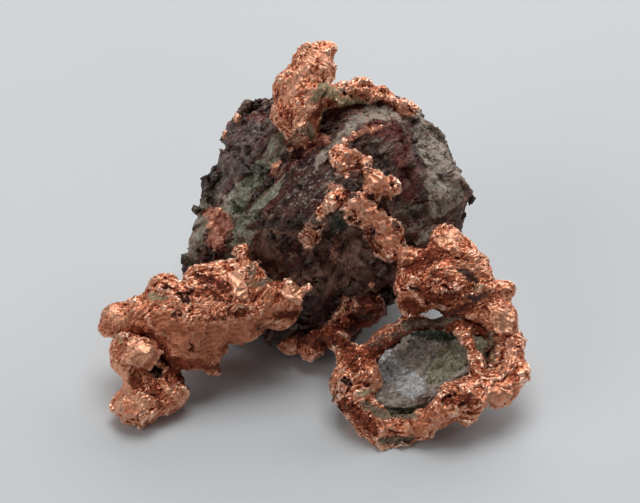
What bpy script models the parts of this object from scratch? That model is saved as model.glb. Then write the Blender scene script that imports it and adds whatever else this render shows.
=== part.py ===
"""Native copper nugget: limbs of copper grown through a lump of dark altered basalt.

A copper horn stands on the rock's top, a branched copper limb reaches down to the left, and a
spongy copper mass at the right carries a cage of copper round a pocket of milky quartz. The
nugget rests on the limb's foot, the cage and the back of the rock.

The pieces are laid out in millimetres on a drawing plane that leans back like an easel: across
to the right, up the plane, and out of it towards whoever looks straight at the best face.
Every piece is a union of lumps and blocks, roughened with noise, thinned to plain facets and
cut clear of its neighbours. The frame has +Z up, and its origin lies on the table under the
middle of the nugget.
"""

import math

import bmesh
import bpy
from mathutils import Matrix, Vector

MM = 0.001
GAP = 0.35 * MM  # clearance kept between pieces that grew against each other

PLANE_LEAN = math.radians(45)  # how far the drawing plane leans back from upright
PLANE_HEIGHT = 18.9 * MM  # its origin's height above the table
TABLE_BLOCK = 200 * MM  # side of the block that cuts the feet flat at the table
CUTTER_DETAIL = 0.5  # triangles of a cutter for each triangle of the piece that it stands for

PLANE_AXES = Matrix(
    (
        (1, 0, 0),
        (0, math.sin(PLANE_LEAN), -math.cos(PLANE_LEAN)),
        (0, math.cos(PLANE_LEAN), math.sin(PLANE_LEAN)),
    )
)
OUT_OF_PLANE = PLANE_AXES.col[2].normalized()


def at(across, up, out):
    """The place in metres of a point that is measured on the drawing plane in millimetres."""
    return PLANE_AXES @ (Vector((across, up, out)) * MM) + Vector((0, 0, PLANE_HEIGHT))


# ---------------------------------------------------------------- shapes


def add_lump(bm, across, up, out, size, roll=0):
    """An ellipsoid. size is its radius or its three radii, and roll turns it in the plane."""
    radii = size if isinstance(size, tuple) else (size, size, size)
    turn = PLANE_AXES @ Matrix.Rotation(math.radians(roll), 3, "Z")
    matrix = Matrix.Translation(at(across, up, out)) @ turn.to_4x4() @ Matrix.Diagonal((*radii, 1))
    matrix = matrix @ Matrix.Diagonal((MM, MM, MM, 1))
    bmesh.ops.create_icosphere(bm, subdivisions=3, radius=1, matrix=matrix)


def add_block(bm, *corners):
    """A block with plain faces: the hull of corners given as (across, up, out)."""
    verts = [bm.verts.new(at(*corner)) for corner in corners]
    found = bmesh.ops.convex_hull(bm, input=verts)
    inside = {vert for vert in found["geom_interior"] if isinstance(vert, bmesh.types.BMVert)}
    bmesh.ops.delete(bm, geom=list(inside), context="VERTS")


def add_branch(bm, *stations):
    """A limb through stations of (across, up, out, radius), as a row of overlapping lumps."""
    for start, end in zip(stations, stations[1:]):
        length = math.dist(start[:3], end[:3])
        steps = max(1, math.ceil(length / (0.45 * min(start[3], end[3]))))
        for step in range(steps + 1):
            share = step / steps
            add_lump(bm, *(a + (b - a) * share for a, b in zip(start, end)))


def noise_texture(name, kind, scale, **settings):
    """One of Blender's textures, with its grain size in millimetres."""
    texture = bpy.data.textures.new(name, kind)
    texture.noise_scale = scale * MM
    for setting, value in settings.items():
        setattr(texture, setting, value)
    return texture


def roughen(obj, texture, strength, middle=0.5):
    """Adds relief from a texture; strength is its whole height in millimetres."""
    displace = obj.modifiers.new(texture.name, "DISPLACE")
    displace.texture = texture
    displace.strength = strength * MM
    displace.mid_level = middle


def fuse(obj, voxel):
    """Joins overlapping shells into one closed skin, on a grid in millimetres."""
    remesh = obj.modifiers.new("Fuse", "REMESH")
    remesh.mode = "VOXEL"
    remesh.voxel_size = voxel * MM


def bake(obj):
    """Applies the modifiers and drops all but the largest body of what is left."""
    graph = bpy.context.evaluated_depsgraph_get()
    mesh = bpy.data.meshes.new_from_object(obj.evaluated_get(graph))
    obj.modifiers.clear()
    old = obj.data
    obj.data = mesh
    bpy.data.meshes.remove(old)
    mesh.name = obj.name
    keep_largest(mesh)


def keep_largest(mesh):
    """Removes every loose bit of a mesh but the one with the most faces."""
    bm = bmesh.new()
    bm.from_mesh(mesh)
    left = set(bm.verts)
    bodies = []
    while left:
        body, front = set(), [left.pop()]
        while front:
            vert = front.pop()
            body.add(vert)
            for edge in vert.link_edges:
                other = edge.other_vert(vert)
                if other in left:
                    left.discard(other)
                    front.append(other)
        bodies.append(body)
    bodies.sort(key=len)
    loose = [vert for body in bodies[:-1] for vert in body]
    bmesh.ops.delete(bm, geom=loose, context="VERTS")
    bm.to_mesh(mesh)
    bm.free()


def object_of(name, bm):
    mesh = bpy.data.meshes.new(name)
    bm.to_mesh(mesh)
    bm.free()
    obj = bpy.data.objects.new(name, mesh)
    collection.objects.link(obj)
    return obj


def thin(obj, triangles):
    """Collapses edges until the piece has about that many triangles, which leaves plain facets."""
    obj.modifiers.new("Triangles", "TRIANGULATE")
    bake(obj)
    decimate = obj.modifiers.new("Thin", "DECIMATE")
    decimate.ratio = min(1, triangles / len(obj.data.polygons))
    obj.modifiers.new("Triangles", "TRIANGULATE")
    bake(obj)


def cut(obj, cutter):
    """Takes the cutter's shape out of a piece, and drops the cutter."""
    difference = obj.modifiers.new("Cut", "BOOLEAN")
    difference.operation = "DIFFERENCE"
    difference.solver = "EXACT"
    difference.object = cutter
    bake(obj)
    bpy.data.objects.remove(cutter)


def clear_of(obj, *neighbours):
    """Cuts a piece back from its neighbours, with the gap between them."""
    for neighbour in neighbours:
        cutter = bpy.data.objects.new("cutter", neighbour.data.copy())
        collection.objects.link(cutter)
        swell = cutter.modifiers.new("Swell", "DISPLACE")
        swell.strength = 1.25 * GAP
        swell.mid_level = 0
        fuse(cutter, 0.45)
        bake(cutter)
        thin(cutter, CUTTER_DETAIL * len(neighbour.data.polygons))
        cut(obj, cutter)


def stand_on_table(obj):
    """Cuts off what would reach below the table, which leaves a small flat foot."""
    bm = bmesh.new()
    bmesh.ops.create_cube(bm, size=TABLE_BLOCK, matrix=Matrix.Translation((0, 0, -TABLE_BLOCK / 2)))
    cut(obj, object_of("table", bm))


def piece_of(name, build, voxel):
    """An object from a function that adds its lumps, fused on a grid in millimetres."""
    bm = bmesh.new()
    build(bm)
    obj = object_of(name, bm)
    fuse(obj, voxel)
    return obj


def grow(name, build, voxel, relief, triangles, hollows=None):
    """A piece from its lumps: fused, hollowed, roughened and thinned to plain facets."""
    obj = piece_of(name, build, voxel)
    if hollows:
        bake(obj)
        cut(obj, piece_of("hollows", hollows, voxel))
    for texture, strength in relief:
        roughen(obj, texture, strength)
    fuse(obj, voxel)
    bake(obj)
    thin(obj, triangles)
    return obj


# ---------------------------------------------------------------- copper


def horn(bm):
    """The horn: a thick slab that stands on the rock's top and ends in two knobs."""
    add_lump(bm, -1.3, 19.0, -4.2, (4.4, 4.0, 3.6))
    add_lump(bm, -1.1, 23.0, -4.2, (4.2, 3.8, 3.2))
    add_lump(bm, 0.2, 26.2, -4.6, (3.2, 3.2, 2.6))
    add_lump(bm, 1.8, 28.2, -5.0, (1.9, 1.8, 1.7))
    add_lump(bm, 0.0, 28.9, -4.6, (1.7, 1.4, 1.5))
    add_lump(bm, -4.0, 22.6, -4.6, (1.4, 2.0, 1.7))
    # The crust that runs from the horn's foot along the rock's top edge.
    add_branch(bm, (2.0, 21.9, -5.0, 2.0), (4.8, 22.6, -6.2, 1.3), (7.4, 23.4, -7.4, 1.7))
    add_branch(bm, (7.4, 23.4, -7.4, 1.7), (9.8, 22.8, -7.8, 1.3), (11.4, 21.2, -7.8, 1.3))
    add_branch(bm, (11.4, 21.2, -7.6, 1.0), (13.2, 20.5, -7.6, 0.8), (14.6, 20.5, -7.2, 1.1))


def left_arm(bm):
    """The limb at lower left, from its broken tip on the rock's front to the elbow."""
    add_branch(
        bm,
        (-3.3, -7.4, -1.4, 2.1),
        (-5.4, -7.3, -1.6, 2.9),
        (-9.0, -7.2, -2.2, 4.2),
        (-13.0, -8.4, -2.2, 5.0),
        (-16.2, -9.8, -2.2, 5.0),
        (-19.8, -9.6, -2.4, 3.9),
        (-23.6, -9.8, -2.4, 3.2),
        (-27.6, -10.0, -2.8, 2.7),
    )
    add_lump(bm, -2.9, -6.0, 0.4, (2.2, 1.6, 1.0), -25)  # the bright flake at its tip
    add_branch(bm, (-1.8, -5.8, 0.3, 0.8), (0.2, -5.2, 0.3, 0.45))
    add_branch(bm, (-17.8, -13.4, -2.0, 3.6), (-14.6, -14.6, -2.6, 2.7), (-13.2, -17.0, -3.2, 1.2))
    add_branch(bm, (-20.4, -12.6, -2.6, 2.6), (-18.6, -15.4, -2.8, 1.7))
    add_lump(bm, -21.5, -5.7, -1.8, (2.3, 1.9, 1.9), 20)
    add_lump(bm, -14.4, -4.2, -2.0, (4.2, 2.2, 2.4), 20)
    add_lump(bm, -16.8, -5.4, -1.6, (1.7, 1.8, 2.0))
    add_lump(bm, -9.9, -1.2, -2.6, (1.7, 2.0, 2.2), 25)
    add_lump(bm, -8.4, -4.4, -0.4, (2.2, 2.6, 1.8), 20)


def left_leg(bm):
    """The branch that turns down from the elbow: a folded sheet, a rib and a knobbed foot."""
    add_branch(
        bm,
        (-26.6, -13.0, -2.2, 2.3),
        (-26.0, -15.4, -2.0, 2.7),
        (-25.2, -18.0, -1.8, 2.7),
        (-24.6, -20.4, -1.6, 2.9),
        (-24.4, -22.2, -1.4, 3.2),
    )
    add_lump(bm, -24.6, -14.0, -0.4, (3.2, 2.2, 1.2), -20)  # the folded sheet
    add_lump(bm, -22.6, -17.2, -3.4, (2.4, 2.6, 1.8))  # the hollow's floor behind it
    add_lump(bm, -21.2, -15.2, -6.0, (2.6, 2.6, 1.9))
    add_branch(bm, (-20.6, -16.4, -2.8, 1.1), (-19.2, -18.6, -2.4, 1.1), (-18.6, -20.6, -1.8, 1.4))
    add_lump(bm, -21.0, -21.2, -1.8, (3.2, 2.5, 2.4), 12)


def right_arm(bm):
    """The spongy mass at the right, with a hooked lobe, a side knob and the root of the cage."""
    add_lump(bm, 15.4, -5.2, -1.4, (3.6, 3.2, 2.8))
    add_lump(bm, 14.7, -7.4, -1.2, (2.1, 2.0, 2.0))
    add_lump(bm, 14.8, -2.0, -2.6, (2.2, 2.6, 2.6))
    add_lump(bm, 19.6, -4.4, -1.6, (4.2, 4.2, 3.2))
    add_lump(bm, 20.2, -0.8, -2.2, (3.6, 3.2, 2.8))
    add_lump(bm, 19.2, 1.8, -2.8, (2.0, 1.9, 1.9))
    add_lump(bm, 23.2, -2.6, -2.2, (2.6, 3.0, 2.4), 15)
    add_lump(bm, 24.2, -6.0, -2.0, (3.0, 2.6, 2.4))
    add_branch(bm, (25.6, -6.2, -2.0, 1.7), (28.2, -5.6, -2.0, 1.4))
    add_branch(bm, (20.5, -8.2, -2.2, 1.7), (24.5, -8.4, -2.2, 2.0), (26.6, -9.4, -2.2, 2.2))
    add_branch(bm, (27.0, -9.0, -2.0, 2.2), (28.0, -11.2, -2.2, 1.8))


def ring(bm):
    """The cage: a rough hoop round the quartz pocket, with a finger, a strut and side knobs."""
    hoop = (
        (4.6, -12.8, -0.8, 1.1),
        (5.2, -14.6, -0.4, 1.1),
        (6.2, -16.2, 0.0, 1.6),
        (6.0, -18.6, 0.2, 2.6),
        (6.2, -21.4, 0.4, 2.5),
        (8.6, -24.2, 0.6, 2.2),
        (11.4, -25.6, 0.4, 1.9),
        (15.6, -25.2, 1.4, 1.6),
        (18.2, -23.4, 2.4, 1.7),
        (20.8, -21.4, 2.6, 2.6),
        (24.4, -20.2, 1.8, 2.0),
        (27.4, -19.8, 1.0, 2.1),
        (29.0, -18.0, 0.2, 1.8),
        (29.2, -15.0, -1.0, 1.5),
        (28.8, -12.8, -2.2, 1.7),
    )
    add_branch(bm, *hoop)
    add_lump(bm, 22.0, -22.8, 2.6, (2.0, 1.9, 1.9))
    add_lump(bm, 8.2, -18.0, 0.2, (1.8, 2.6, 1.6))
    add_branch(bm, (10.0, -26.4, 0.7, 1.4), (10.2, -27.6, 0.9, 0.9))
    add_branch(bm, (11.2, -27.2, 0.8, 0.8), (14.6, -27.2, 0.6, 0.8))
    add_branch(
        bm,
        (6.6, -16.0, -0.8, 1.5),
        (9.0, -14.6, -1.4, 1.5),
        (12.0, -12.6, -2.0, 1.6),
        (14.4, -11.2, -2.6, 1.8),
        (17.8, -11.5, -2.8, 1.2),
        (21.0, -10.2, -2.4, 1.4),
        (24.0, -10.8, -2.8, 1.5),
        (27.4, -12.4, -3.0, 1.6),
    )
    add_branch(bm, (21.2, -10.4, -1.0, 0.9), (22.8, -13.4, 0.2, 0.9), (24.4, -17.8, 1.2, 1.1))
    add_branch(bm, (24.4, -17.8, 1.2, 1.1), (25.6, -19.2, 1.4, 1.3))
    add_branch(bm, (26.4, -12.6, -2.2, 0.9), (26.6, -16.0, -0.8, 0.9), (26.8, -18.6, 0.4, 1.1))


def face_vein(bm):
    """The vein that wanders over the rock's front face, half sunk in it."""
    add_vein(bm, (4.6, 13.8, 1.5), (5.4, 12.2, 1.9), (6.4, 12.6, 1.0), (8.2, 13.4, 0.7))
    add_vein(bm, (8.2, 13.4, 0.7), (8.0, 10.8, 0.9), (9.2, 9.4, 1.8), (11.2, 8.4, 1.6))
    add_vein(bm, (9.2, 9.4, 0.9), (7.4, 7.4, 0.8), (6.0, 6.9, 1.3), (7.6, 5.2, 2.0))
    add_vein(bm, (7.6, 5.2, 2.0), (9.2, 4.2, 2.0), (9.4, 2.9, 1.5), (11.4, 2.6, 1.9))
    add_vein(bm, (11.4, 2.6, 1.9), (11.6, 0.4, 1.9), (9.4, 0.0, 1.1))
    add_vein(bm, (11.6, 0.4, 1.6), (13.4, 0.0, 1.2), (13.5, -1.2, 0.9))
    add_vein(bm, (6.0, 6.9, 0.9), (4.6, 7.4, 0.8), (2.2, 6.3, 0.9), (0.8, 4.2, 0.8))
    add_vein(bm, (0.8, 4.2, 0.8), (-0.2, 1.8, 1.2))


BAND_OUTLINE = (
    (2.2, -11.0),
    (4.6, -8.8),
    (5.4, -6.4),
    (9.2, -6.2),
    (10.8, -7.2),
    (9.4, -10.2),
    (7.6, -11.4),
    (4.6, -12.6),
    (2.4, -13.2),
)


def base_band(bm):
    """The sheet of copper that lines the rock's lower front edge, with a stub that hangs from it."""
    faces = (0.6, -1.6)  # how far its front and its back lie out of the rock's surface
    add_block(bm, *((x, y, face_of_rock(x, y) + face) for x, y in BAND_OUTLINE for face in faces))
    for across, up, size in (
        (-2.6, -13.9, (2.0, 1.4, 1.3)),
        (0.2, -14.1, (2.2, 1.6, 1.5)),
        (2.8, -12.7, (2.0, 1.6, 1.4)),
        (5.8, -7.8, (1.6, 1.2, 1.1)),
    ):
        add_lump(bm, across, up, face_of_rock(across, up) + 0.1, size)
    add_branch(bm, (3.2, -12.2, -6.0, 1.5), (4.2, -12.6, -4.2, 1.2), (4.4, -13.4, -3.2, 0.9))


# ---------------------------------------------------------------- stone

VIEW_REACH = 40  # clear of every piece, out of the plane
ROCK_RIM = -6.5  # how far out of the plane the rock's lower front rim lies

ROCK_CORNERS = (
    # the outline, clockwise from the horn's foot
    (2.9, 23.2, -9.0),
    (8.6, 23.8, -10.0),
    (13.6, 21.2, -10.5),
    (18.4, 19.2, -10.5),
    (20.8, 16.0, -10.5),
    (21.6, 12.0, -9.5),
    (21.4, 4.4, -8.0),
    (18.2, -1.6, -7.5),
    (13.4, -6.4, -8.0),
    (8.4, -10.8, -8.6),
    (2.0, -15.2, -9.2),
    (-3.0, -15.6, -9.6),
    (-8.0, -13.8, -10.0),
    (-15.0, -8.0, -11.5),
    (-18.6, -4.6, -12.0),
    (-19.2, -1.6, -11.5),
    (-18.4, 2.6, -11.5),
    (-16.2, 9.6, -12.0),
    (-14.2, 15.6, -13.0),
    (-12.8, 18.8, -13.5),
    (-7.6, 22.0, -13.5),
    # the best face: the ledge's edge, the top edge and the ridge at its right
    (-9.5, 5.0, -3.2),
    (-1.0, 5.6, 1.2),
    (5.0, 8.0, 1.8),
    (12.6, 2.0, -0.8),
    (13.6, 9.0, -0.9),
    (12.8, 17.4, -4.4),
    (4.0, 18.8, -4.4),
    (-3.0, 17.0, -5.6),
    # the back and the side that rests on the table
    (-9.0, 14.0, -21.0),
    (9.0, 16.5, -20.0),
    (16.5, 9.0, -19.0),
    (14.5, 0.0, -21.5),
    (8.5, -5.0, -22.6),
    (-6.0, -6.0, -21.6),
    (-13.0, -1.0, -22.0),
    (-14.0, 6.0, -21.0),
    (0.0, 3.0, -25.0),
)


def rock(bm):
    """The host rock: a block with a ledge across its front and a snout at the right."""
    add_block(bm, *ROCK_CORNERS)
    add_branch(bm, (17.6, 8.6, -6.2, 3.4), (21.4, 8.2, -6.4, 2.2), (23.0, 6.8, -6.2, 1.2))
    add_branch(bm, (17.0, 5.0, -5.2, 2.6), (20.8, 4.6, -5.0, 1.7))
    add_lump(bm, 16.9, 1.8, -4.0, (2.7, 2.2, 2.4))  # the grey lump over the spongy mass
    add_lump(bm, 15.4, -1.2, -5.8, (3.4, 4.0, 3.4))
    add_branch(bm, (12.6, 17.6, -4.0, 1.3), (13.6, 13.0, -2.2, 1.5), (14.6, 7.4, -2.2, 1.3))
    add_branch(bm, (-8.4, 4.8, -3.0, 1.5), (-1.0, 5.0, 0.4, 1.6), (5.0, 7.4, 0.8, 1.4))
    add_lump(bm, -13.8, 2.8, -8.0, (2.8, 3.4, 2.4), 20)
    add_lump(bm, -5.4, 12.4, -4.8, (2.4, 4.4, 2.0), -35)


def rock_pits(bm):
    """Hollows in the best face, where softer mineral has gone."""
    add_lump(bm, 11.5, 12.0, -1.8, (2.4, 1.5, 1.8), -10)
    add_lump(bm, 5.8, 9.8, 0.4, (1.8, 1.5, 1.7))
    add_lump(bm, 5.0, 20.4, -5.4, (3.6, 1.4, 1.8), 15)
    # the hollow face under the ledge
    add_lump(bm, -1.6, -1.0, 0.6, (8.0, 4.6, 4.6), 6)
    add_lump(bm, 4.6, 1.6, 1.0, (4.0, 3.8, 4.2), -30)
    add_lump(bm, 6.8, -4.4, -1.4, (6.4, 3.6, 4.0), -35)
    add_lump(bm, -5.6, 10.2, -3.4, (1.2, 3.2, 1.2), -30)
    add_lump(bm, 17.2, 11.6, -4.4, (0.9, 3.4, 1.5), 12)


def quartz(bm):
    """The milky quartz that fills the cage behind its pocket."""
    add_lump(bm, 15.8, -17.6, -1.9, (9.8, 6.0, 3.3), 22)
    add_lump(bm, 25.4, -14.8, -3.2, (3.2, 3.4, 2.4))
    add_lump(bm, 11.0, -22.0, -0.6, (3.8, 1.6, 1.9), -10)  # the grey-green lip


def pocket(bm):
    """The hollow in the quartz, open towards the best face."""
    add_lump(bm, 16.6, -15.8, 1.8, (7.2, 4.2, 4.2), 22)
    add_lump(bm, 12.4, -18.2, 1.4, (3.6, 3.6, 3.4), 10)
    add_lump(bm, 20.4, -14.4, 0.8, (3.0, 3.4, 2.8))
    add_lump(bm, 25.6, -15.4, 0.2, (1.1, 2.4, 2.4))


def face_of_rock(across, up):
    """How far out of the plane the rock's surface lies there, or its rim beside the rock."""
    start = at(across, up, VIEW_REACH)
    hit, place, _, _ = matrix_rock.ray_cast(start, -OUT_OF_PLANE)
    return VIEW_REACH - (place - start).length / MM if hit else ROCK_RIM


def add_vein(bm, *stations):
    """A limb through stations of (across, up, radius) that keeps to the rock's surface."""
    for start, end in zip(stations, stations[1:]):
        steps = math.ceil(math.dist(start[:2], end[:2]) / (0.4 * min(start[2], end[2])))
        for step in range(steps + 1):
            share = step / steps
            across, up, radius = (a + (b - a) * share for a, b in zip(start, end))
            add_lump(bm, across, up, face_of_rock(across, up), radius)


# ---------------------------------------------------------------- assembly

for leftover in list(bpy.data.objects):
    bpy.data.objects.remove(leftover)
collection = bpy.data.collections.new("native copper nugget")
bpy.context.scene.collection.children.link(collection)

crumple = noise_texture("crumple", "CLOUDS", 2.2, noise_type="HARD_NOISE", noise_depth=1)
sponge = noise_texture("sponge", "VORONOI", 1.7)
crags = noise_texture("crags", "VORONOI", 5.0)
grit = noise_texture("grit", "CLOUDS", 2.4, noise_type="HARD_NOISE", noise_depth=2)

COPPER_RELIEF = ((crumple, 1.1), (sponge, 0.7))
FINE_RELIEF = ((crumple, 0.7), (sponge, 0.5))
ROCK_RELIEF = ((crags, 2.5), (grit, 1.5))
QUARTZ_RELIEF = ((sponge, 1.2), (grit, 0.8))

matrix_rock = grow("matrix_rock", rock, 0.6, ROCK_RELIEF, 2300, hollows=rock_pits)
copper_horn = grow("copper_horn", horn, 0.4, COPPER_RELIEF, 760)
copper_left_arm = grow("copper_left_arm", left_arm, 0.4, COPPER_RELIEF, 1100)
copper_left_leg = grow("copper_left_leg", left_leg, 0.4, COPPER_RELIEF, 600)
copper_right_arm = grow("copper_right_arm", right_arm, 0.4, COPPER_RELIEF, 900)
copper_ring = grow("copper_ring", ring, 0.35, FINE_RELIEF, 1250)
copper_face_vein = grow("copper_face_vein", face_vein, 0.3, FINE_RELIEF, 600)
copper_base_band = grow("copper_base_band", base_band, 0.35, FINE_RELIEF, 350)
quartz_pocket = grow("quartz_pocket", quartz, 0.45, QUARTZ_RELIEF, 560, hollows=pocket)

clear_of(copper_left_leg, copper_left_arm)
clear_of(copper_ring, copper_right_arm)
clear_of(copper_base_band, copper_left_arm)
clear_of(copper_face_vein, copper_right_arm, copper_base_band)
clear_of(quartz_pocket, copper_ring, copper_right_arm)
clear_of(matrix_rock, copper_horn, copper_left_arm, copper_right_arm, copper_base_band)
clear_of(matrix_rock, copper_face_vein, copper_ring, quartz_pocket)

pieces = list(collection.objects)
for piece in pieces:
    stand_on_table(piece)


def material(name, colour, roughness, metallic=0):
    made = bpy.data.materials.new(name)
    made.use_nodes = True
    shader = made.node_tree.nodes["Principled BSDF"]
    shader.inputs["Base Color"].default_value = (*colour, 1)
    shader.inputs["Roughness"].default_value = roughness
    shader.inputs["Metallic"].default_value = metallic
    return made


copper = material("native copper", (0.72, 0.33, 0.20), 0.4, 1)
basalt = material("altered basalt", (0.09, 0.07, 0.065), 0.8)
milky_quartz = material("milky quartz", (0.46, 0.49, 0.45), 0.35)
for piece in pieces:
    finish = {"matrix_rock": basalt, "quartz_pocket": milky_quartz}.get(piece.name, copper)
    piece.data.materials.clear()
    piece.data.materials.append(finish)

nugget = bpy.data.objects.new("nugget", None)
collection.objects.link(nugget)
corners = [v.co for piece in pieces for v in piece.data.vertices]
middle = [(min(c[axis] for c in corners) + max(c[axis] for c in corners)) / 2 for axis in (0, 1)]
nugget.location = (-middle[0], -middle[1], 0)
for piece in pieces:
    piece.parent = nugget
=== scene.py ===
"""Native copper nugget in altered basalt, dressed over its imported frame."""

import itertools
import math
from functools import partial

import bpy
import numpy as np
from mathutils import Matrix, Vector


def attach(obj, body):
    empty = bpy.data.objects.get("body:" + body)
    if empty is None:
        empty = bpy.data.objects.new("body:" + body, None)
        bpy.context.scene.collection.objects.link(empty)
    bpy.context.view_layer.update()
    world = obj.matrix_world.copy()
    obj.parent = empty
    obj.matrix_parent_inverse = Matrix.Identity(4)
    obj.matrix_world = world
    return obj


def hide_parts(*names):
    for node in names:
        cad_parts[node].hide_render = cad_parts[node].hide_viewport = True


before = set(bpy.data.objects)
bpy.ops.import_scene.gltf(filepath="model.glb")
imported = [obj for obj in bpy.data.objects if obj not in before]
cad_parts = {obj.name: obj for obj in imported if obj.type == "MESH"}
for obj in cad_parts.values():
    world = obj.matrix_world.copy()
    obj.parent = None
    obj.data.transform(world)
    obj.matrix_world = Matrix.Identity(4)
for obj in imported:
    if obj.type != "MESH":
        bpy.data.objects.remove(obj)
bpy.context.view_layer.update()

# ---------------------------------------------------------------- best face and camera
# The nugget is looked at along the line out of its best face, which leans back 45 degrees, from
# far enough that a long lens takes in the whole piece. Places on the best face are given in
# millimetres, across to the right and up it, as the camera sees them.

MM = 0.001
LEAN = math.radians(45)
ACROSS = Vector((1, 0, 0))
UP = Vector((0, math.sin(LEAN), math.cos(LEAN)))
OUT = Vector((0, -math.cos(LEAN), math.sin(LEAN)))
FACE_ORIGIN = Vector((-0.38, -2.603, 18.9))  # millimetres
AIM = (1.43, -0.21)  # the middle of the view, on the best face
FOCAL = 150
SENSOR = 36
VIEW_WIDTH = 640 / 7  # millimetres of the best face that the view takes in
DISTANCE = FOCAL / SENSOR * VIEW_WIDTH

lens = bpy.data.cameras.new("camera")
lens.lens = FOCAL
lens.sensor_width = SENSOR
lens.clip_start = 0.01
camera = bpy.data.objects.new("camera", lens)
bpy.context.scene.collection.objects.link(camera)
camera.location = (FACE_ORIGIN + ACROSS * AIM[0] + UP * AIM[1] + OUT * DISTANCE) * MM
camera.rotation_euler = (-OUT).to_track_quat("-Z", "Y").to_euler()
bpy.context.scene.camera = camera


# ---------------------------------------------------------------- host rock
# Altered basalt: a broken block of dark, chlorite-green and hematite-maroon lava with bands of
# pale quartz. It broke along joints and layers, so its skin is chips, ledges and open pits.

ROCK_GRAIN = 0.24  # spacing of its mesh in millimetres


def copied(name, node):
    """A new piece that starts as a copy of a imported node's mesh, with its triangles merged."""
    piece = bpy.data.objects.new(name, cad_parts[node].data.copy())
    bpy.context.scene.collection.objects.link(piece)
    piece.data.materials.clear()
    bpy.ops.object.select_all(action="DESELECT")
    piece.select_set(True)
    bpy.context.view_layer.objects.active = piece
    bpy.ops.object.mode_set(mode="EDIT")
    bpy.ops.mesh.select_all(action="SELECT")
    bpy.ops.mesh.remove_doubles(threshold=1e-6)
    bpy.ops.object.mode_set(mode="OBJECT")
    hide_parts(node)
    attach(piece, "root")
    return piece


def apply(piece, kind, **settings):
    """Adds a modifier with its settings and applies it."""
    modifier = piece.modifiers.new(kind.title(), kind)
    for setting, value in settings.items():
        setattr(modifier, setting, value)
    bpy.context.view_layer.objects.active = piece
    bpy.ops.object.modifier_apply(modifier=modifier.name)


def skin(piece, grain, melt, swell):
    """Gives a piece an even fine mesh, melts its flat facets away and swells it to its contacts."""
    apply(piece, "REMESH", mode="VOXEL", voxel_size=grain * MM)
    apply(piece, "SMOOTH", factor=0.5, iterations=melt)
    apply(piece, "DISPLACE", strength=swell * MM, mid_level=0)


def read(piece, what="co"):
    """The places (co) in millimetres or the normals of a piece's points."""
    values = np.empty(len(piece.data.vertices) * 3, np.float32)
    piece.data.vertices.foreach_get(what, values)
    return values.reshape(-1, 3).astype(float) * (1000 if what == "co" else 1)


def place(piece, points):
    """Moves a piece's points to places in millimetres, and none below the table."""
    points = points.copy()
    points[:, 2] = np.maximum(points[:, 2], 0)
    piece.data.vertices.foreach_set("co", (points * MM).astype(np.float32).ravel())
    piece.data.update()


def raise_by(piece, height):
    """Moves each point of a piece out along its normal by its own height in millimetres."""
    place(piece, read(piece) + read(piece, "normal") * height[:, None])


def hashed(cell, seed):
    """A steady random number from 0 to 1 for each whole-number cell."""
    mixed = cell[..., 0] * 73856093 ^ cell[..., 1] * 19349663 ^ cell[..., 2] * 83492791
    mixed = (mixed ^ (seed * 2654435761)) & 0xFFFFFFFF
    for factor, shift in ((2246822519, 15), (3266489917, 13)):
        mixed = ((mixed ^ (mixed >> shift)) * factor) & 0xFFFFFFFF
    return (mixed ^ (mixed >> 16)) / 2.0**32


def noise(points, size, seed):
    """Smooth noise from about -1 to 1, with bumps about `size` millimetres across."""
    spots = points / size
    base = np.floor(spots).astype(np.int64)
    part = spots - base
    ease = part * part * part * (part * (part * 6 - 15) + 10)
    total = np.zeros(len(points))
    for corner in itertools.product((0, 1), repeat=3):
        weight = np.prod(np.where(corner, ease, 1 - ease), axis=1)
        cell = base + corner
        away = part - corner
        for axis in range(3):
            total += weight * away[:, axis] * (hashed(cell, seed * 3 + axis) * 2 - 1)
    return total * 2.0


def rough(points, size, seed, octaves=3, ridged=False):
    """Noise with finer noise on it; ridged noise has sharp crests."""
    total = np.zeros(len(points))
    for octave in range(octaves):
        value = noise(points, size / 2**octave, seed + octave)
        total += (1 - 2 * np.abs(value) if ridged else value) / 2**octave
    return total / (2 - 2 ** (1 - octaves))


def cells(points, size, seed):
    """Which of many random centres, `size` millimetres apart, is nearest to each point: how far
    it is, how far the next one is, the cell that it's in, and the way from it to the point."""
    spots = points / size
    base = np.floor(spots).astype(np.int64)
    near, next_near = np.full(len(points), 9.0), np.full(len(points), 9.0)
    cell, away = base.copy(), np.zeros((len(points), 3))
    for offset in itertools.product((-1, 0, 1), repeat=3):
        other = base + offset
        centre = other + np.stack([hashed(other, seed * 7 + axis) for axis in range(3)], axis=1)
        gap = spots - centre
        distance = np.sqrt((gap * gap).sum(1))
        closer = distance < near
        next_near = np.where(closer, near, np.minimum(next_near, distance))
        near = np.where(closer, distance, near)
        cell[closer] = other[closer]
        away[closer] = gap[closer]
    return near * size, next_near * size, cell, away * size


def facets(points, size, seed):
    """Small flat crystal faces, each tilted its own way: a height in millimetres."""
    _, _, cell, away = cells(points, size, seed)
    tilt = np.stack([hashed(cell, seed + axis) * 2 - 1 for axis in (31, 32, 33)], axis=1)
    return (tilt * away).sum(1)


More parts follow.
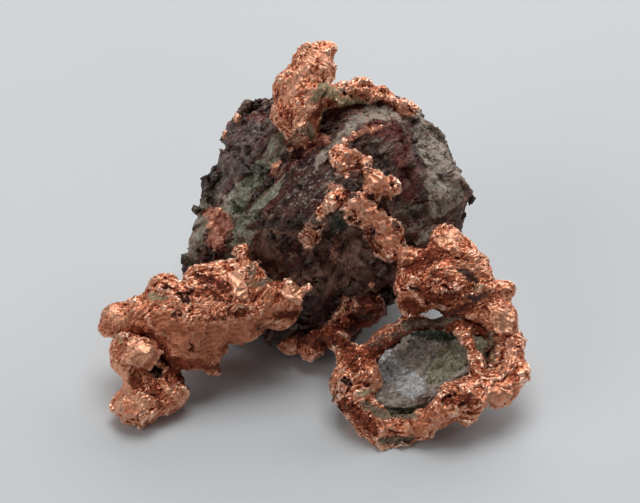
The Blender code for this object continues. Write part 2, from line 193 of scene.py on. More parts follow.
def chip(piece, size, seed, share, most, lean=0.5):
    """Breaks a surface into flat chips: the points of each cell move towards one plane, which
    leans its own way. share is how far they move, the same all over or one value a point."""
    points, normals = read(piece), read(piece, "normal")
    wander = np.stack([noise(points, size * 0.7, seed + axis) for axis in (1, 2, 3)], axis=1)
    _, _, cell, _ = cells(points + wander * size * 0.25, size, seed)
    _, first, which = np.unique(cell, axis=0, return_index=True, return_inverse=True)
    which = which.reshape(-1)
    count = np.bincount(which)
    middle = np.stack([np.bincount(which, points[:, a]) / count for a in range(3)], axis=1)
    facing = np.stack([np.bincount(which, normals[:, a]) / count for a in range(3)], axis=1)
    tilt = np.stack([hashed(cell[first], seed + axis) - 0.5 for axis in (11, 12, 13)], axis=1)
    facing = facing + tilt * lean
    facing /= np.linalg.norm(facing, axis=1)[:, None]
    turned = (facing[which] * normals).sum(1)
    height = ((middle[which] - points) * facing[which]).sum(1) / np.maximum(turned, 0.5)
    height = np.clip(height, -most, most) * share
    height = smoothed(piece, height[:, None], 1)[:, 0]
    place(piece, points + normals * height[:, None])


def ledges(points, way, size, seed):
    """Broken layers about `size` millimetres thick across a way: each rises slowly and drops off
    at its edge. A height from -0.5 to 0.5."""
    level = points @ np.array(way) / size
    level += 0.5 * rough(points, 6.0, seed, 2) + 0.12 * rough(points, 1.2, seed + 5, 2)
    layer = np.floor(level)
    part = level - layer
    tall = 0.35 + 0.65 * hashed(np.stack([layer.astype(np.int64)] * 3, axis=1), seed)
    return (np.minimum(part / 0.82, (1 - part) / 0.18) - 0.5) * tall


def smoothed(piece, values, rounds):
    """Values on a piece's points, each round averaged with their neighbours'."""
    edges = np.empty(len(piece.data.edges) * 2, np.int32)
    piece.data.edges.foreach_get("vertices", edges)
    start, end = edges[::2], edges[1::2]
    total = len(piece.data.vertices)
    count = np.bincount(start, minlength=total) + np.bincount(end, minlength=total)
    values = values.copy()
    for _ in range(rounds):
        for column in range(values.shape[1]):
            line = values[:, column]
            sums = np.bincount(start, line[end], total) + np.bincount(end, line[start], total)
            values[:, column] = 0.5 * line + 0.5 * sums / np.maximum(count, 1)
    return values


def hollowness(piece, rounds, full):
    """How far each point lies below (1) or above (-1) the surface smoothed round it; it reaches
    full at that depth in millimetres."""
    points = read(piece)
    below = ((smoothed(piece, points, rounds) - points) * read(piece, "normal")).sum(1)
    return np.clip(below / full, -1, 1)


def mark(piece, name, values):
    """Keeps a value from 0 to 1 on each point of a piece, for its material."""
    layer = piece.data.attributes.new(name, "FLOAT", "POINT")
    layer.data.foreach_set("value", values.astype(np.float32))


def seen(points):
    """Where the camera sees each point on the best face: across, up, and how far out it lies."""
    from_origin = points - np.array(FACE_ORIGIN)
    out = from_origin @ np.array(OUT)
    nearer = DISTANCE / (DISTANCE - out)
    across = AIM[0] + (from_origin @ np.array(ACROSS) - AIM[0]) * nearer
    up = AIM[1] + (from_origin @ np.array(UP) - AIM[1]) * nearer
    return np.stack([across, up, out], axis=1)


def streak(spots, *stations, soft=0.6):
    """1 along a line through stations of (across, up, radius), fading to 0 at its edge."""
    if len(stations) == 1:
        stations = stations * 2
    cover = np.zeros(len(spots))
    for (x0, y0, r0), (x1, y1, r1) in zip(stations, stations[1:]):
        run = max((x1 - x0) ** 2 + (y1 - y0) ** 2, 1e-9)
        share = ((spots[:, 0] - x0) * (x1 - x0) + (spots[:, 1] - y0) * (y1 - y0)) / run
        share = np.clip(share, 0, 1)
        gap = np.hypot(spots[:, 0] - x0 - share * (x1 - x0), spots[:, 1] - y0 - share * (y1 - y0))
        cover = np.maximum(cover, np.clip((r0 + share * (r1 - r0) - gap) / soft + 0.5, 0, 1))
    return cover


def covered(spots, areas):
    """How far the areas cover each spot, 0 to 1. An area is the most that it covers, how soft its
    edge is in millimetres, and the stations of a line along it."""
    cover = np.zeros(len(spots))
    for most, soft, *stations in areas:
        cover = np.maximum(cover, most * streak(spots, *stations, soft=soft))
    return cover


def wavering(points, spots, seed, reach):
    """Spots moved a little by noise, so that the edges of what is laid out on them wander."""
    shift = np.stack([rough(points, 2.4, seed + axis, 3) * reach for axis in (0, 10)], axis=1)
    return spots[:, :2] + shift


rock = copied("host_rock", "matrix_rock")
skin(rock, ROCK_GRAIN, 12, 0.25)
points = read(rock)
spots = wavering(points, seen(points), 19, 0.5)
bedded = streak(
    spots, (5, 13.4, 1.6), (7.4, 11, 1.4), (10.4, 8.8, 1.6), (8, 6.4, 1.6), (11.4, 3.4, 1.4), (12.8, 0.4, 1),
    soft=2,
)
raise_by(rock, 0.75 * bedded)  # it stands up round the copper vein, which is half sunk in it
chip(rock, 5.5, 3, 0.7, 1.4, 0.7)
points = read(rock)
spots = seen(points)
left_share = np.clip((-spots[:, 0] - 1) / 5, 0, 1)
right_share = np.clip((spots[:, 0] - 13) / 3, 0, 1)
upper_share = np.clip((spots[:, 1] - 2) / 5, 0, 1) * (1 - right_share)
height = -0.2 * left_share
for share, way, size, tall, seed in (
    (upper_share, UP * 0.72 - ACROSS * 0.6 + OUT * 0.2, 2.6, 1.0, 21),  # the bedding, rising to the right
    (upper_share, UP * 0.8 - ACROSS * 0.5 - OUT * 0.3, 1.0, 0.35, 23),
    (right_share, ACROSS * 0.9 + UP * 0.35, 2.2, 0.9, 25),
    (1 - upper_share - right_share, UP * 0.5 - ACROSS * 0.8, 2.4, 0.5, 27),
):
    height += share * tall * ledges(points, way, size, seed)
raise_by(rock, height)
tugged = np.clip(1 - np.hypot(spots[:, 0] - 20.6, spots[:, 1] - 7.6) / 3, 0, 1)[:, None]
place(rock, read(rock) + tugged * np.array(ACROSS * 1.6 + UP * 0.2))  # the crag at its right
lower_share = np.clip((3 - spots[:, 1]) / 3, 0, 1)
chip(rock, 3.4, 5, 0.75, 0.6, 0.6)
chip(rock, 2.2, 6, 0.85 * lower_share, 0.8, 1.1)
points = read(rock)
near, far, _, _ = cells(points + 0.8 * noise(points, 2.5, 8)[:, None], 5.0, 9)
cracks = np.clip(1 - (far - near) / 0.35, 0, 1)
raise_by(rock, 0.08 * rough(points, 2.0, 31, 2) - 0.3 * cracks)
chip(rock, 1.4, 7, 0.5, 0.16, 0.7)
points = read(rock)
raise_by(rock, 0.09 * facets(points, 0.55, 41) + 0.03 * rough(points, 0.7, 51, 2))

# The areas of each mineral, of painted shade in the deep places and of painted glints, on the best face.
MINERALS = {
    "chlorite": (
        (1, 0.6, (-2.6, 17.1, 1.0), (-5, 14.3, 1.2), (-6.9, 11.7, 1.0), (-9.3, 8.6, 1.2), (-11.1, 5.7, 1.5),
         (-9.3, 2.1, 1.3), (-11.1, -0.7, 1.2)),
        (1, 0.6, (-8.6, 4.6, 0.6), (-5, 9.3, 0.7), (-2.9, 12, 0.4)),
        (1, 0.6, (-15.4, 6, 1.3), (-16.6, 2, 1.4), (-17, -1, 1.2)),
    ),
    "pale": (
        (1, 0.6, (1.1, 12.1, 0.4), (2.9, 14.6, 0.6), (5, 16.4, 0.6), (6.4, 18.6, 0.8), (8.8, 19.7, 1.0),
         (11.7, 19.6, 0.9), (14, 18.9, 0.8)),
        (1, 0.6, (16.4, 16.6, 1.8), (18.8, 12.6, 2.8), (19.3, 8, 2.4), (18.3, 5.6, 1.2)),
        (0.6, 0.6, (-14.8, 8.6, 0.8), (-11.4, 6.8, 0.6)),
        (0.7, 0.6, (-16.2, 4.6, 0.7), (-17, 0, 0.8), (-17.2, -2, 0.6)),
    ),
    "mauve": ((1, 0.6, (-8.3, 18.3, 2.6), (-11.1, 12.9, 2.6), (-13.6, 8.6, 1.6)),),
    "maroon": (
        (1, 0.6, (7.8, 18.3, 0.8), (11.5, 17.2, 1.4), (13.4, 15.4, 1.2), (13.2, 12.8, 0.9), (14, 9.2, 1.2),
         (14.6, 6.8, 1.0)),
        (0.8, 0.6, (18, 15, 0.2), (19.6, 11.4, 0.5), (20.6, 8, 0.6)),
        (1, 0.6, (-4.6, 10.4, 0.6), (-1.4, 14.3, 0.8), (1, 16.2, 0.5)),
        (1, 0.6, (2.8, 20.6, 1.6), (7, 20.8, 1.2)),
    ),
    "grey": ((1, 0.6, (17, 2, 2.4)), (1, 0.6, (13.5, 6.2, 1.0), (17, 5, 1.3), (21, 5.2, 1.2))),
    "painted_shade": (
        (1, 0.6, (-9, 3.4, 0.5), (-1.4, 3.8, 0.8), (4.8, 6.4, 0.6), (12, 1.6, 0.8)),
        (1, 0.6, (9.8, 13.4, 0.8), (11, 11.8, 1.4)),
        (0.8, 0.6, (15, 15.4, 0.3), (16.2, 11, 0.5), (16.4, 7, 0.3)),
        (1, 0.6, (5.6, 9.8, 1.1)),
        (0.3, 0.6, (2.6, 19.6, 1.0), (4.6, 20.2, 1.3), (6.4, 20.8, 0.7)),
        (1, 0.6, (-5.6, 1.6, 0.5), (-3.4, -0.6, 0.4), (-4.2, -3.2, 0.3)),
    ),
    "warm": (
        (1, 3, (-8, 1, 2), (-2, 1.6, 2.4), (4, 3.4, 2.6), (8, 1.2, 2.6), (4, -2, 2.4)),
        (1, 0.6, (19, 4.4, 1.6), (21, 7, 1.4), (18, 9, 0.6)),
        (0.8, 3, (-7, -5, 1.6), (0, -6, 2.4), (8, -5, 2)),
    ),
    "purple": (
        (1, 1.6, (-5, 8, 1.6), (-1, 9, 2.2), (1.6, 11.4, 1.8), (-1, 12.6, 1.2)),
        (1, 0.6, (9.6, 15.4, 1.0), (10.6, 13, 1.2), (11.6, 11.6, 1.2)),
        (1, 0.6, (-3.6, 1.4, 1.0), (-1.8, 0.2, 0.8)),
    ),
    "green_face": ((1, 0.5, (3.4, 5.2, 0.9), (3.8, 3.2, 1.2), (2.8, 1.8, 0.6)),),
    "metal": (
        (1, 0.6, (5, 15.5, 0.2), (7.8, 17.2, 0.5), (9.6, 17.2, 0.3)),
        (1, 0.6, (-5.2, 11, 0.5), (-4.4, 12.4, 0.4)),
        (1, 0.6, (-0.8, 14.1, 0.5), (0.8, 15, 0.4)),
        (1, 0.6, (3, 9, 0.5), (4.2, 8.8, 0.4)),
        (1, 0.6, (-14.2, 5.2, 1.1), (-12.4, 4, 1.5), (-13.2, 1.6, 1.3)),
        (1, 0.6, (-2, 16, 1.6), (1.6, 15.8, 1.2)),
        (0.75, 1.6, (4, 2.2, 0.6), (3.2, -1.8, 0.7)),
        (0.34, 1.6, (4, 15, 2), (6, 12, 2.4), (9, 9.6, 2.4), (8, 6, 2.4), (11, 2.6, 2.4)),
        (0.34, 1.6, (-6, 5.4, 0.8), (-1, 5.6, 1.0), (3, 7.4, 1.0)),
        (0.34, 1.6, (-4, 11, 1.6), (0, 15, 1.6), (4, 19.4, 1.6), (12, 18.6, 1.6)),
        (0.34, 1.6, (-13.6, 3.4, 3.0), (-9.4, -1.6, 1.6), (-4, -3.4, 1.2)),
        (0.34, 1.6, (0, 1.4, 2), (6, -2.4, 2.4)),
    ),
    "painted_glints": ((1, 2, (-2.4, 12, 1.6), (1.6, 9.4, 2.4), (-2, 6.8, 2.0)),),
}
# Patches of the same minerals on the sides and back: their size in millimetres, their seed, how
# sharp their edges are and how scarce they are.
PATCHES_ELSEWHERE = {
    "chlorite": (7, 71, 4, 0.6), "pale": (9, 81, 5, 1.4), "mauve": (8, 91, 4, 0),
    "maroon": (6, 101, 4, 1), "metal": (5, 111, 7, 3.2),
}

points = read(rock)
spots = seen(points)
flat_spots = wavering(points, spots, 61, 0.8)
front = np.clip((spots[:, 2] + 11) / 4, 0, 1)  # the best face, against the sides and the back
elsewhere = 1 - front
shares = {mineral: covered(flat_spots, areas) for mineral, areas in MINERALS.items()}
for mineral, (size, seed, sharpness, scarcity) in PATCHES_ELSEWHERE.items():
    patches = np.clip(rough(points, size, seed) * sharpness - scarcity, 0, 1)
    shares[mineral] = np.maximum(shares[mineral], elsewhere * patches)
# Painted shade, darker towards the bottom of the best face.
shares["painted_shade"] = np.maximum(shares["painted_shade"], front * np.clip((-4 - flat_spots[:, 1]) / 5, 0, 0.9))
# Painted glints on the sides and the back, at half strength.
shares["painted_glints"] = np.maximum(shares["painted_glints"], 0.5 * elsewhere)
proud_metal = 0.12 + 0.22 * rough(points, 0.9, 115, 2, ridged=True)
raise_by(rock, np.clip(shares["metal"] * 3 - 1.2, 0, 1) * proud_metal)
for mineral, share in shares.items():
    mark(rock, mineral, share)
mark(rock, "hollow", hollowness(rock, 8, 0.22) * 0.5 + 0.5)
mark(rock, "deep", hollowness(rock, 60, 0.7) * 0.5 + 0.5)


def srgb(code):
    """The linear colour of an sRGB hex value."""
    parts = [int(code[i : i + 2], 16) / 255 for i in (1, 3, 5)]
    return (*(p / 12.92 if p <= 0.04045 else ((p + 0.055) / 1.055) ** 2.4 for p in parts), 1)


def add_node(tree, kind, inputs=None, out=0, stops=None, **settings):
    """Adds a shader node with its settings, its inputs as values, colours or links, and its stops
    where it is a ramp. Returns one of its outputs. A mix is one of colours: it mixes inputs 6 and
    7 by input 0, and gives them as output 2."""
    node = tree.nodes.new("ShaderNode" + kind)
    if kind == "Mix":
        node.data_type = "RGBA"
    for setting, value in settings.items():
        setattr(node, setting, value)
    for name, value in (inputs or {}).items():
        if isinstance(value, bpy.types.NodeSocket):
            tree.links.new(value, node.inputs[name])
        else:
            node.inputs[name].default_value = srgb(value) if isinstance(value, str) else value
    for index, (position, code) in enumerate(stops or ()):
        elements = node.color_ramp.elements
        element = elements[index] if index < 2 else elements.new(position)
        element.position, element.color = position, srgb(code)
    return node.outputs[out] if node.outputs else node


def finish_named(name):
    """A new empty material, and the function that adds a node to it."""
    made = bpy.data.materials.new(name)
    made.use_nodes = True
    made.node_tree.nodes.clear()
    return made, partial(add_node, made.node_tree)


def paint(add, colour, stain, dark, light, edge, fray, low, high, tone, contrast, lift):
    """Paints a stain over a colour where its attribute lies. The noise `edge` frays its border,
    which runs from low to high, and the noise `tone` picks from its dark to its light. Returns
    the colour, and how far the stain covers it."""
    amount = add("Attribute", out="Fac", attribute_name=stain)
    frayed = add("Math", {0: edge, 1: fray, 2: -fray / 2}, operation="MULTIPLY_ADD")
    frayed = add("Math", {0: amount, 1: frayed}, operation="ADD")
    cover = add("MapRange", {0: frayed, 1: low, 2: high}, interpolation_type="SMOOTHSTEP")
    shade = add("Math", {0: tone, 1: contrast, 2: -lift}, operation="MULTIPLY_ADD", use_clamp=True)
    tint = add("Mix", {0: shade, 6: dark, 7: light}, out=2)
    return add("Mix", {0: cover, 6: colour, 7: tint}, out=2), cover


# Altered basalt: dull fine-grained lava, broken not polished, so it is rough all over, with a
# glint here and there from a crystal face. Each mineral is one layer, painted over the last, and
# the painted shade is one more layer.
ROCK_MOTTLE = 700  # patterns to the metre: mottling of 1.4 mm,
ROCK_SPECK = 2600  # specks of 0.4 mm,
ROCK_CRYSTALS = 3200  # crystals of 0.3 mm
ROCK_BEDS = 1100  # and beds of 0.9 mm

basalt, add = finish_named("altered basalt")
spot = add("TexCoord", out="Object")
mottle = add("TexNoise", {"Vector": spot, "Scale": ROCK_MOTTLE, "Detail": 5, "Roughness": 0.65})
speck = add("TexNoise", {"Vector": spot, "Scale": ROCK_SPECK, "Detail": 3, "Roughness": 0.6})
grain = add("TexVoronoi", {"Vector": spot, "Scale": ROCK_CRYSTALS}, out="Color")
grain = add("SeparateColor", {"Color": grain})
# The bedding: the pattern is turned to lie along it, then drawn out eight times as long as wide.
turn = (ACROSS * 0.75 + UP * 0.66).to_track_quat("X", "Z").inverted().to_euler()
bed = add("Mapping", {"Vector": spot, "Rotation": turn})
bed = add("Mapping", {"Vector": bed, "Scale": (0.13, 1, 1)})
bed = add(
    "TexNoise", {"Vector": bed, "Scale": ROCK_BEDS, "Detail": 4, "Roughness": 0.6, "Distortion": 0.4}
)
colour = add(
    "ValToRGB", {"Fac": mottle},
    stops=((0.3, "#32140F"), (0.7, "#6E4434"), (0.5, "#4A251D")),
)
for mineral, dark, light in (
    ("mauve", "#44332F", "#766460"),
    ("warm", "#6E453A", "#B48A76"),
    ("purple", "#240D0E", "#5A302C"),
    ("chlorite", "#5E6450", "#C0C0A6"),
    ("maroon", "#480F0D", "#7E2F26"),
    ("grey", "#331D17", "#705646"),
    ("pale", "#6C5C50", "#DACDBC"),
    ("green_face", "#33382F", "#5F6457"),
    # Painted shade, dark brown, in the deep places and under the ledge.
    ("painted_shade", "#1A0E0C", "#4A332B"),
):
    colour, _ = paint(add, colour, mineral, dark, light, mottle, 1.1, 0.3, 0.62, speck, 2.2, 0.6)
# Thin streaks of pale quartz and of iron red along the bedding, about 0.3 mm wide.
for low, high, code, most in (
    (0.54, 0.6, "#AC9C8C", 0.4), (0.46, 0.4, "#722E28", 0.6), (0.38, 0.33, "#2A1C1B", 0.6),
):
    amount = add("MapRange", {0: bed, 1: low, 2: high, 4: most})
    colour = add("Mix", {0: amount, 6: colour, 7: code}, out=2)
# Pale flecks of about 0.3 mm: a few pale crystals all over, and many more as painted glints.
fleck = add("MapRange", {0: grain, 1: 0.78, 2: 0.84})
painted_glints = add("Attribute", out="Fac", attribute_name="painted_glints")
painted_glints = add("Math", {0: painted_glints, 1: 0.7, 2: 0.2}, operation="MULTIPLY_ADD")
fleck = add("Math", {0: fleck, 1: painted_glints}, operation="MULTIPLY")
broken = add("MapRange", {0: speck, 1: 0.46, 2: 0.54})
fleck = add("Math", {0: fleck, 1: broken}, operation="MULTIPLY")
colour = add("Mix", {0: fleck, 6: colour, 7: "#C6B4AA"}, out=2)
# Painted shade darkens the hollows and deep places, and a painted highlight
# pales the crests and proud places.
hollow = add("Attribute", out="Fac", attribute_name="hollow")
deep = add("Attribute", out="Fac", attribute_name="deep")
dark = add("MapRange", {0: hollow, 1: 0.55, 2: 1.0, 4: 0.45})
sunken = add("MapRange", {0: deep, 1: 0.5, 2: 1.0, 4: 0.6})
dark = add("Math", {0: sunken, 1: dark}, operation="MAXIMUM")
colour = add("Mix", {0: dark, 6: colour, 7: "#170E0E"}, out=2)
proud = add("MapRange", {0: deep, 1: 0.42, 2: 0.05, 4: 0.25})
colour = add("Mix", {0: proud, 6: colour, 7: "#946A5B"}, out=2)
crest = add("MapRange", {0: hollow, 1: 0.45, 2: 0.1, 4: 0.12})
colour = add("Mix", {0: crest, 6: colour, 7: "#9C8275"}, out=2)
# Copper that shows in its skin.
copper = add("Attribute", out="Fac", attribute_name="metal")
ragged = add("Math", {0: speck, 1: 1.6, 2: -0.8}, operation="MULTIPLY_ADD")
copper = add("Math", {0: copper, 1: ragged}, operation="ADD")
copper = add("MapRange", {0: copper, 1: 0.45, 2: 0.6}, interpolation_type="SMOOTHSTEP")
shine = add(
    "ValToRGB", {"Fac": mottle},
    stops=((0.3, "#905A48"), (0.7, "#EEBAA4"), (0.5, "#CA8C76")),
)
colour = add("Mix", {0: copper, 6: colour, 7: shine}, out=2)
roughness = add("MapRange", {0: grain, 1: 0.0, 2: 1.0, 3: 0.25, 4: 0.8})
metallic = add("Math", {0: copper, 1: 0.55}, operation="MULTIPLY")
layered = add("Bump", {"Height": bed, "Strength": 0.9, "Distance": 0.5 * MM})
bump = add(
    "Bump", {"Height": speck, "Strength": 0.7, "Distance": 0.3 * MM, "Normal": layered},
)
shader = add(
    "BsdfPrincipled",
    {"Base Color": colour, "Metallic": metallic, "Roughness": roughness, "Normal": bump},
)
add("OutputMaterial", {"Surface": shader})
rock.data.materials.append(basalt)

# ---------------------------------------------------------------- quartz pocket
# A crust of milky quartz that lines the cage: fine crystals, white at the left, stained olive
# by chlorite at the right, and painted black-green, a painted shadow, where the rim shades it.

QUARTZ_GRAIN = 0.17

quartz = copied("quartz_crust", "quartz_pocket")
skin(quartz, QUARTZ_GRAIN, 10, 0.3)
points = read(quartz)
raise_by(quartz, 0.25 * rough(points, 2.2, 131, 3))
chip(quartz, 1.3, 15, 0.6, 0.5)
points = read(quartz)
raise_by(quartz, 0.3 * facets(points, 0.7, 141) + 0.04 * rough(points, 0.5, 151, 2))
points = read(quartz)
spots = seen(points)
flat_spots = wavering(points, spots, 161, 0.5)
for mineral, areas in (
    ("olive", (
        (1, 1.6, (17.6, -18, 1.2), (20, -15.6, 2), (22.4, -14.4, 1.6), (24, -12.4, 1)),
        (0.7, 0.6, (8, -23, 1.2), (12, -24.3, 1.2), (17, -23.3, 0.8)),
        (1, 0.6, (26, -14, 2.2)),
    )),
    # Painted shadow under the rims of the cage.
    ("shade", (
        (1, 0.8, (13.4, -11.4, 0.5), (17.4, -12.2, 0.9), (20, -12.4, 0.6), (22.6, -10.4, 0.8)),
        (0.8, 0.6, (9.6, -22.4, 0.3), (13.6, -22.9, 0.4), (17.4, -22, 0.3)),
    )),
    ("frost", (
        (1, 1.4, (9.6, -15, 1.4), (11.6, -17, 1.6), (15, -19.6, 1.6)),
        (1, 0.6, (22.1, -15.5, 0.7)),
    )),
):
    mark(quartz, mineral, covered(flat_spots, areas))
mark(quartz, "hollow", hollowness(quartz, 8, 0.2) * 0.5 + 0.5)

# Milky quartz: full of fine bubbles, so light goes in and scatters; glassy where a face is clean.
QUARTZ_MOTTLE = 600  # patterns to the metre: clouds of 1.7 mm,
QUARTZ_SPECK = 2400  # specks of 0.4 mm
QUARTZ_CRYSTALS = 2200  # and crystals of 0.45 mm

milk, add = finish_named("milky quartz")
spot = add("TexCoord", out="Object")
mottle = add("TexNoise", {"Vector": spot, "Scale": QUARTZ_MOTTLE, "Detail": 5, "Roughness": 0.6})
speck = add("TexNoise", {"Vector": spot, "Scale": QUARTZ_SPECK, "Detail": 3})
grain = add("TexVoronoi", {"Vector": spot, "Scale": QUARTZ_CRYSTALS}, out="Color")
grain = add("SeparateColor", {"Color": grain})
colour = add(
    "ValToRGB", {"Fac": mottle},
    stops=((0.3, "#776C63"), (0.7, "#C4B9B1"), (0.5, "#9B8E85")),
)
for mineral, dark, light in (
    ("frost", "#8E8F90", "#E6E6E6"),
    ("olive", "#665F48", "#A6A083"),
    ("shade", "#12160F", "#3A3E2E"),
):
    colour, _ = paint(add, colour, mineral, dark, light, mottle, 0.9, 0.25, 0.7, speck, 2.6, 0.8)
# Painted shade in the hollows.
hollow = add("Attribute", out="Fac", attribute_name="hollow")
dark = add("MapRange", {0: hollow, 1: 0.5, 2: 1.0, 4: 0.6})
colour = add("Mix", {0: dark, 6: colour, 7: "#2E2A22"}, out=2)
roughness = add("MapRange", {0: grain, 1: 0.0, 2: 1.0, 3: 0.15, 4: 0.55})
bump = add("Bump", {"Height": speck, "Strength": 0.6, "Distance": 0.15 * MM})
shader = add(
    "BsdfPrincipled",
    {
        "Base Color": colour, "Roughness": roughness, "Normal": bump, "IOR": 1.54,
        "Subsurface Weight": 0.25, "Subsurface Radius": (MM, MM, 0.9 * MM),
        "Subsurface Scale": 1.0,
    },
)
add("OutputMaterial", {"Surface": shader})
quartz.data.materials.append(milk)

# ---------------------------------------------------------------- copper limbs
# Native copper that grew in the rock's cracks: hackly where it tore out of the stone, crumpled
# like foil at its edges, satin where it lay against a smooth wall. Limbs are one metal with
# the rock, and go into it with no joint.

COPPER_GRAIN = 0.13


def laid_in(spots, areas, soft):
    """1 where any of the areas lies, each a line of stations, all with one edge."""
    return covered(spots, [(1, soft, *stations) for stations in areas])


def grown(name, node, seed, grain=1.0, buckle=1.0, hackle=0.5, swell=0.22, stretch=(0.9, 0.1, 0.3),
          crumple=1.0, fine=1.0, hackly=(), satin=(), pits=(), knobs=(), tugs=(), sinks=(), **stains):
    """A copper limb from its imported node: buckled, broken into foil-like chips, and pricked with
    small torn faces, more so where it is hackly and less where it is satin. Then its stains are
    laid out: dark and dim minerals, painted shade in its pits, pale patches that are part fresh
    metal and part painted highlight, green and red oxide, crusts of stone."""
    limb = copied(name, node)
    skin(limb, COPPER_GRAIN * grain, 22, swell)
    points = read(limb)
    for across, up, out, radius in knobs:  # points near a knob are drawn onto its ball
        centre = np.array(FACE_ORIGIN + ACROSS * across + UP * up + OUT * out)
        away = points - centre
        gap = np.linalg.norm(away, axis=1)[:, None]
        points -= np.clip(3.2 - 2 * gap / radius, 0, 0.85) * (1 - radius / np.maximum(gap, 0.5)) * away
    for across, up, radius, right, rise in tugs:
        spots = seen(points)
        share = np.clip(1 - np.hypot(spots[:, 0] - across, spots[:, 1] - up) / radius, 0, 1)[:, None]
        points += share * share * (3 - 2 * share) * np.array(ACROSS * right + UP * rise)
    for depth, *stations in sinks:
        spots = wavering(points, seen(points), seed + 5, 1.2)
        points -= depth * np.outer(streak(spots, *stations, soft=2.0), OUT)
    place(limb, points)
    points = read(limb)
    spots = wavering(points, seen(points), seed, 0.4)
    calm = laid_in(spots, satin, 1.6)
    wild = (hackle + (1 - hackle) * laid_in(spots, hackly, 1.6)) * (1 - 0.6 * calm)
    way = np.array(Vector(stretch).normalized())
    folded = points - np.outer(points @ way, way) * 0.7
    warp = np.stack([noise(points, 2.0, seed + axis) for axis in (1, 2, 3)], axis=1)
    height = buckle * 0.45 * rough(points, 2.8, seed + 30, 2)
    crumpled = rough(folded + warp * 0.5, 1.3, seed + 20, 2, ridged=True)
    height += (0.32 * wild + 0.1 * calm) * crumple * crumpled
    raise_by(limb, height)
    chip(limb, 2.4, seed + 40, 0.65 * (0.15 + 0.85 * wild), 0.6, 0.8)
    chip(limb, 1.3, seed + 50, 0.5 * (0.15 + 0.85 * wild), 0.25, 0.9)
    points = read(limb)
    spots = wavering(points, seen(points), seed + 10, 0.3)
    torn = np.stack([0.45 * noise(points, 0.7, seed + axis) for axis in (15, 16)], axis=1)
    pitted = np.zeros(len(points))
    for depth, *stations in pits:
        pitted = np.maximum(pitted, depth * streak(spots + torn, *stations, soft=0.4))
    _, _, cell, _ = cells(points + warp, 4.5, seed + 35)
    ways = np.stack([hashed(cell, seed + axis) * 2 - 1 for axis in (36, 37, 38)], axis=1) + way
    ways /= np.linalg.norm(ways, axis=1)[:, None]
    combed = points - ways * (points * ways).sum(1)[:, None] * 0.86
    fold = 0.36 * fine * rough(combed + 0.25 * warp, fine, seed + 60, 2, ridged=True)
    fold += 0.1 * facets(points, 0.5, seed + 70)
    near, _, cell, _ = cells(points, 2.0, seed + 90)
    tuft = (hashed(cell, seed + 95) > 0.55) * np.clip(1 - near / 0.55, 0, 1) ** 1.5
    raise_by(limb, (0.3 + 0.5 * wild) * fold + 0.2 * wild * tuft - pitted)
    points = read(limb)
    mark(limb, "satin", calm)
    mark(limb, "hollow", hollowness(limb, 6, 0.15) * 0.5 + 0.5)
    mark(limb, "deep", hollowness(limb, 50, 0.7) * 0.5 + 0.5)
    spots = wavering(points, seen(points), seed + 80, 0.6)
    for stain, strong, weak, most in (
        ("dark", "dark", "dim", 1), ("pale", "pale", None, 0.8), ("green", "green", None, 0.8),
        ("red", "red", None, 1), ("crust", "crust", "thin_crust", 1),
    ):
        full, half = (laid_in(spots, stains.get(kind, ()), 0.9) for kind in (strong, weak))
        share = most * np.maximum(full, 0.5 * half)
        # The pits are painted with the dark stain as well: painted shade.
        if stain == "dark":
            share = np.maximum(share, 0.8 * np.clip(pitted * 2, 0, 1))
        mark(limb, stain, share)
    return limb


# Native copper, tarnished: painted pale orange-pink on its crests, a painted highlight, and dark
# red-brown in its hollows, part oxide and part painted shade.
# Its thin oxide film and torn skin scatter part of the light, so it isn't all metal to the eye.
COPPER_MOTTLE = 450  # patterns to the metre: tarnish of 2.2 mm,
COPPER_SPECK = 2800  # grit of 0.35 mm,
COPPER_FACES = 2600  # torn faces of 0.4 mm
COPPER_CREASES = 900  # and creases of 1.1 mm, as in crumpled foil

native, add = finish_named("native copper")
spot = add("TexCoord", out="Object")
mottle = add("TexNoise", {"Vector": spot, "Scale": COPPER_MOTTLE, "Detail": 4, "Roughness": 0.6})
speck = add("TexNoise", {"Vector": spot, "Scale": COPPER_SPECK, "Detail": 3, "Roughness": 0.6})
hollow = add("Attribute", out="Fac", attribute_name="hollow")
deep = add("Attribute", out="Fac", attribute_name="deep")
# How hollow each spot is sets its colour: painted highlight on crests, painted shade with oxide in hollows.
level = add("Math", {0: deep, 1: 0.5, 2: -0.25}, operation="MULTIPLY_ADD")
level = add("Math", {0: hollow, 1: level}, operation="ADD")
uneven = add("Math", {0: mottle, 1: 0.7, 2: -0.35}, operation="MULTIPLY_ADD")
level = add("Math", {0: level, 1: uneven}, operation="ADD")
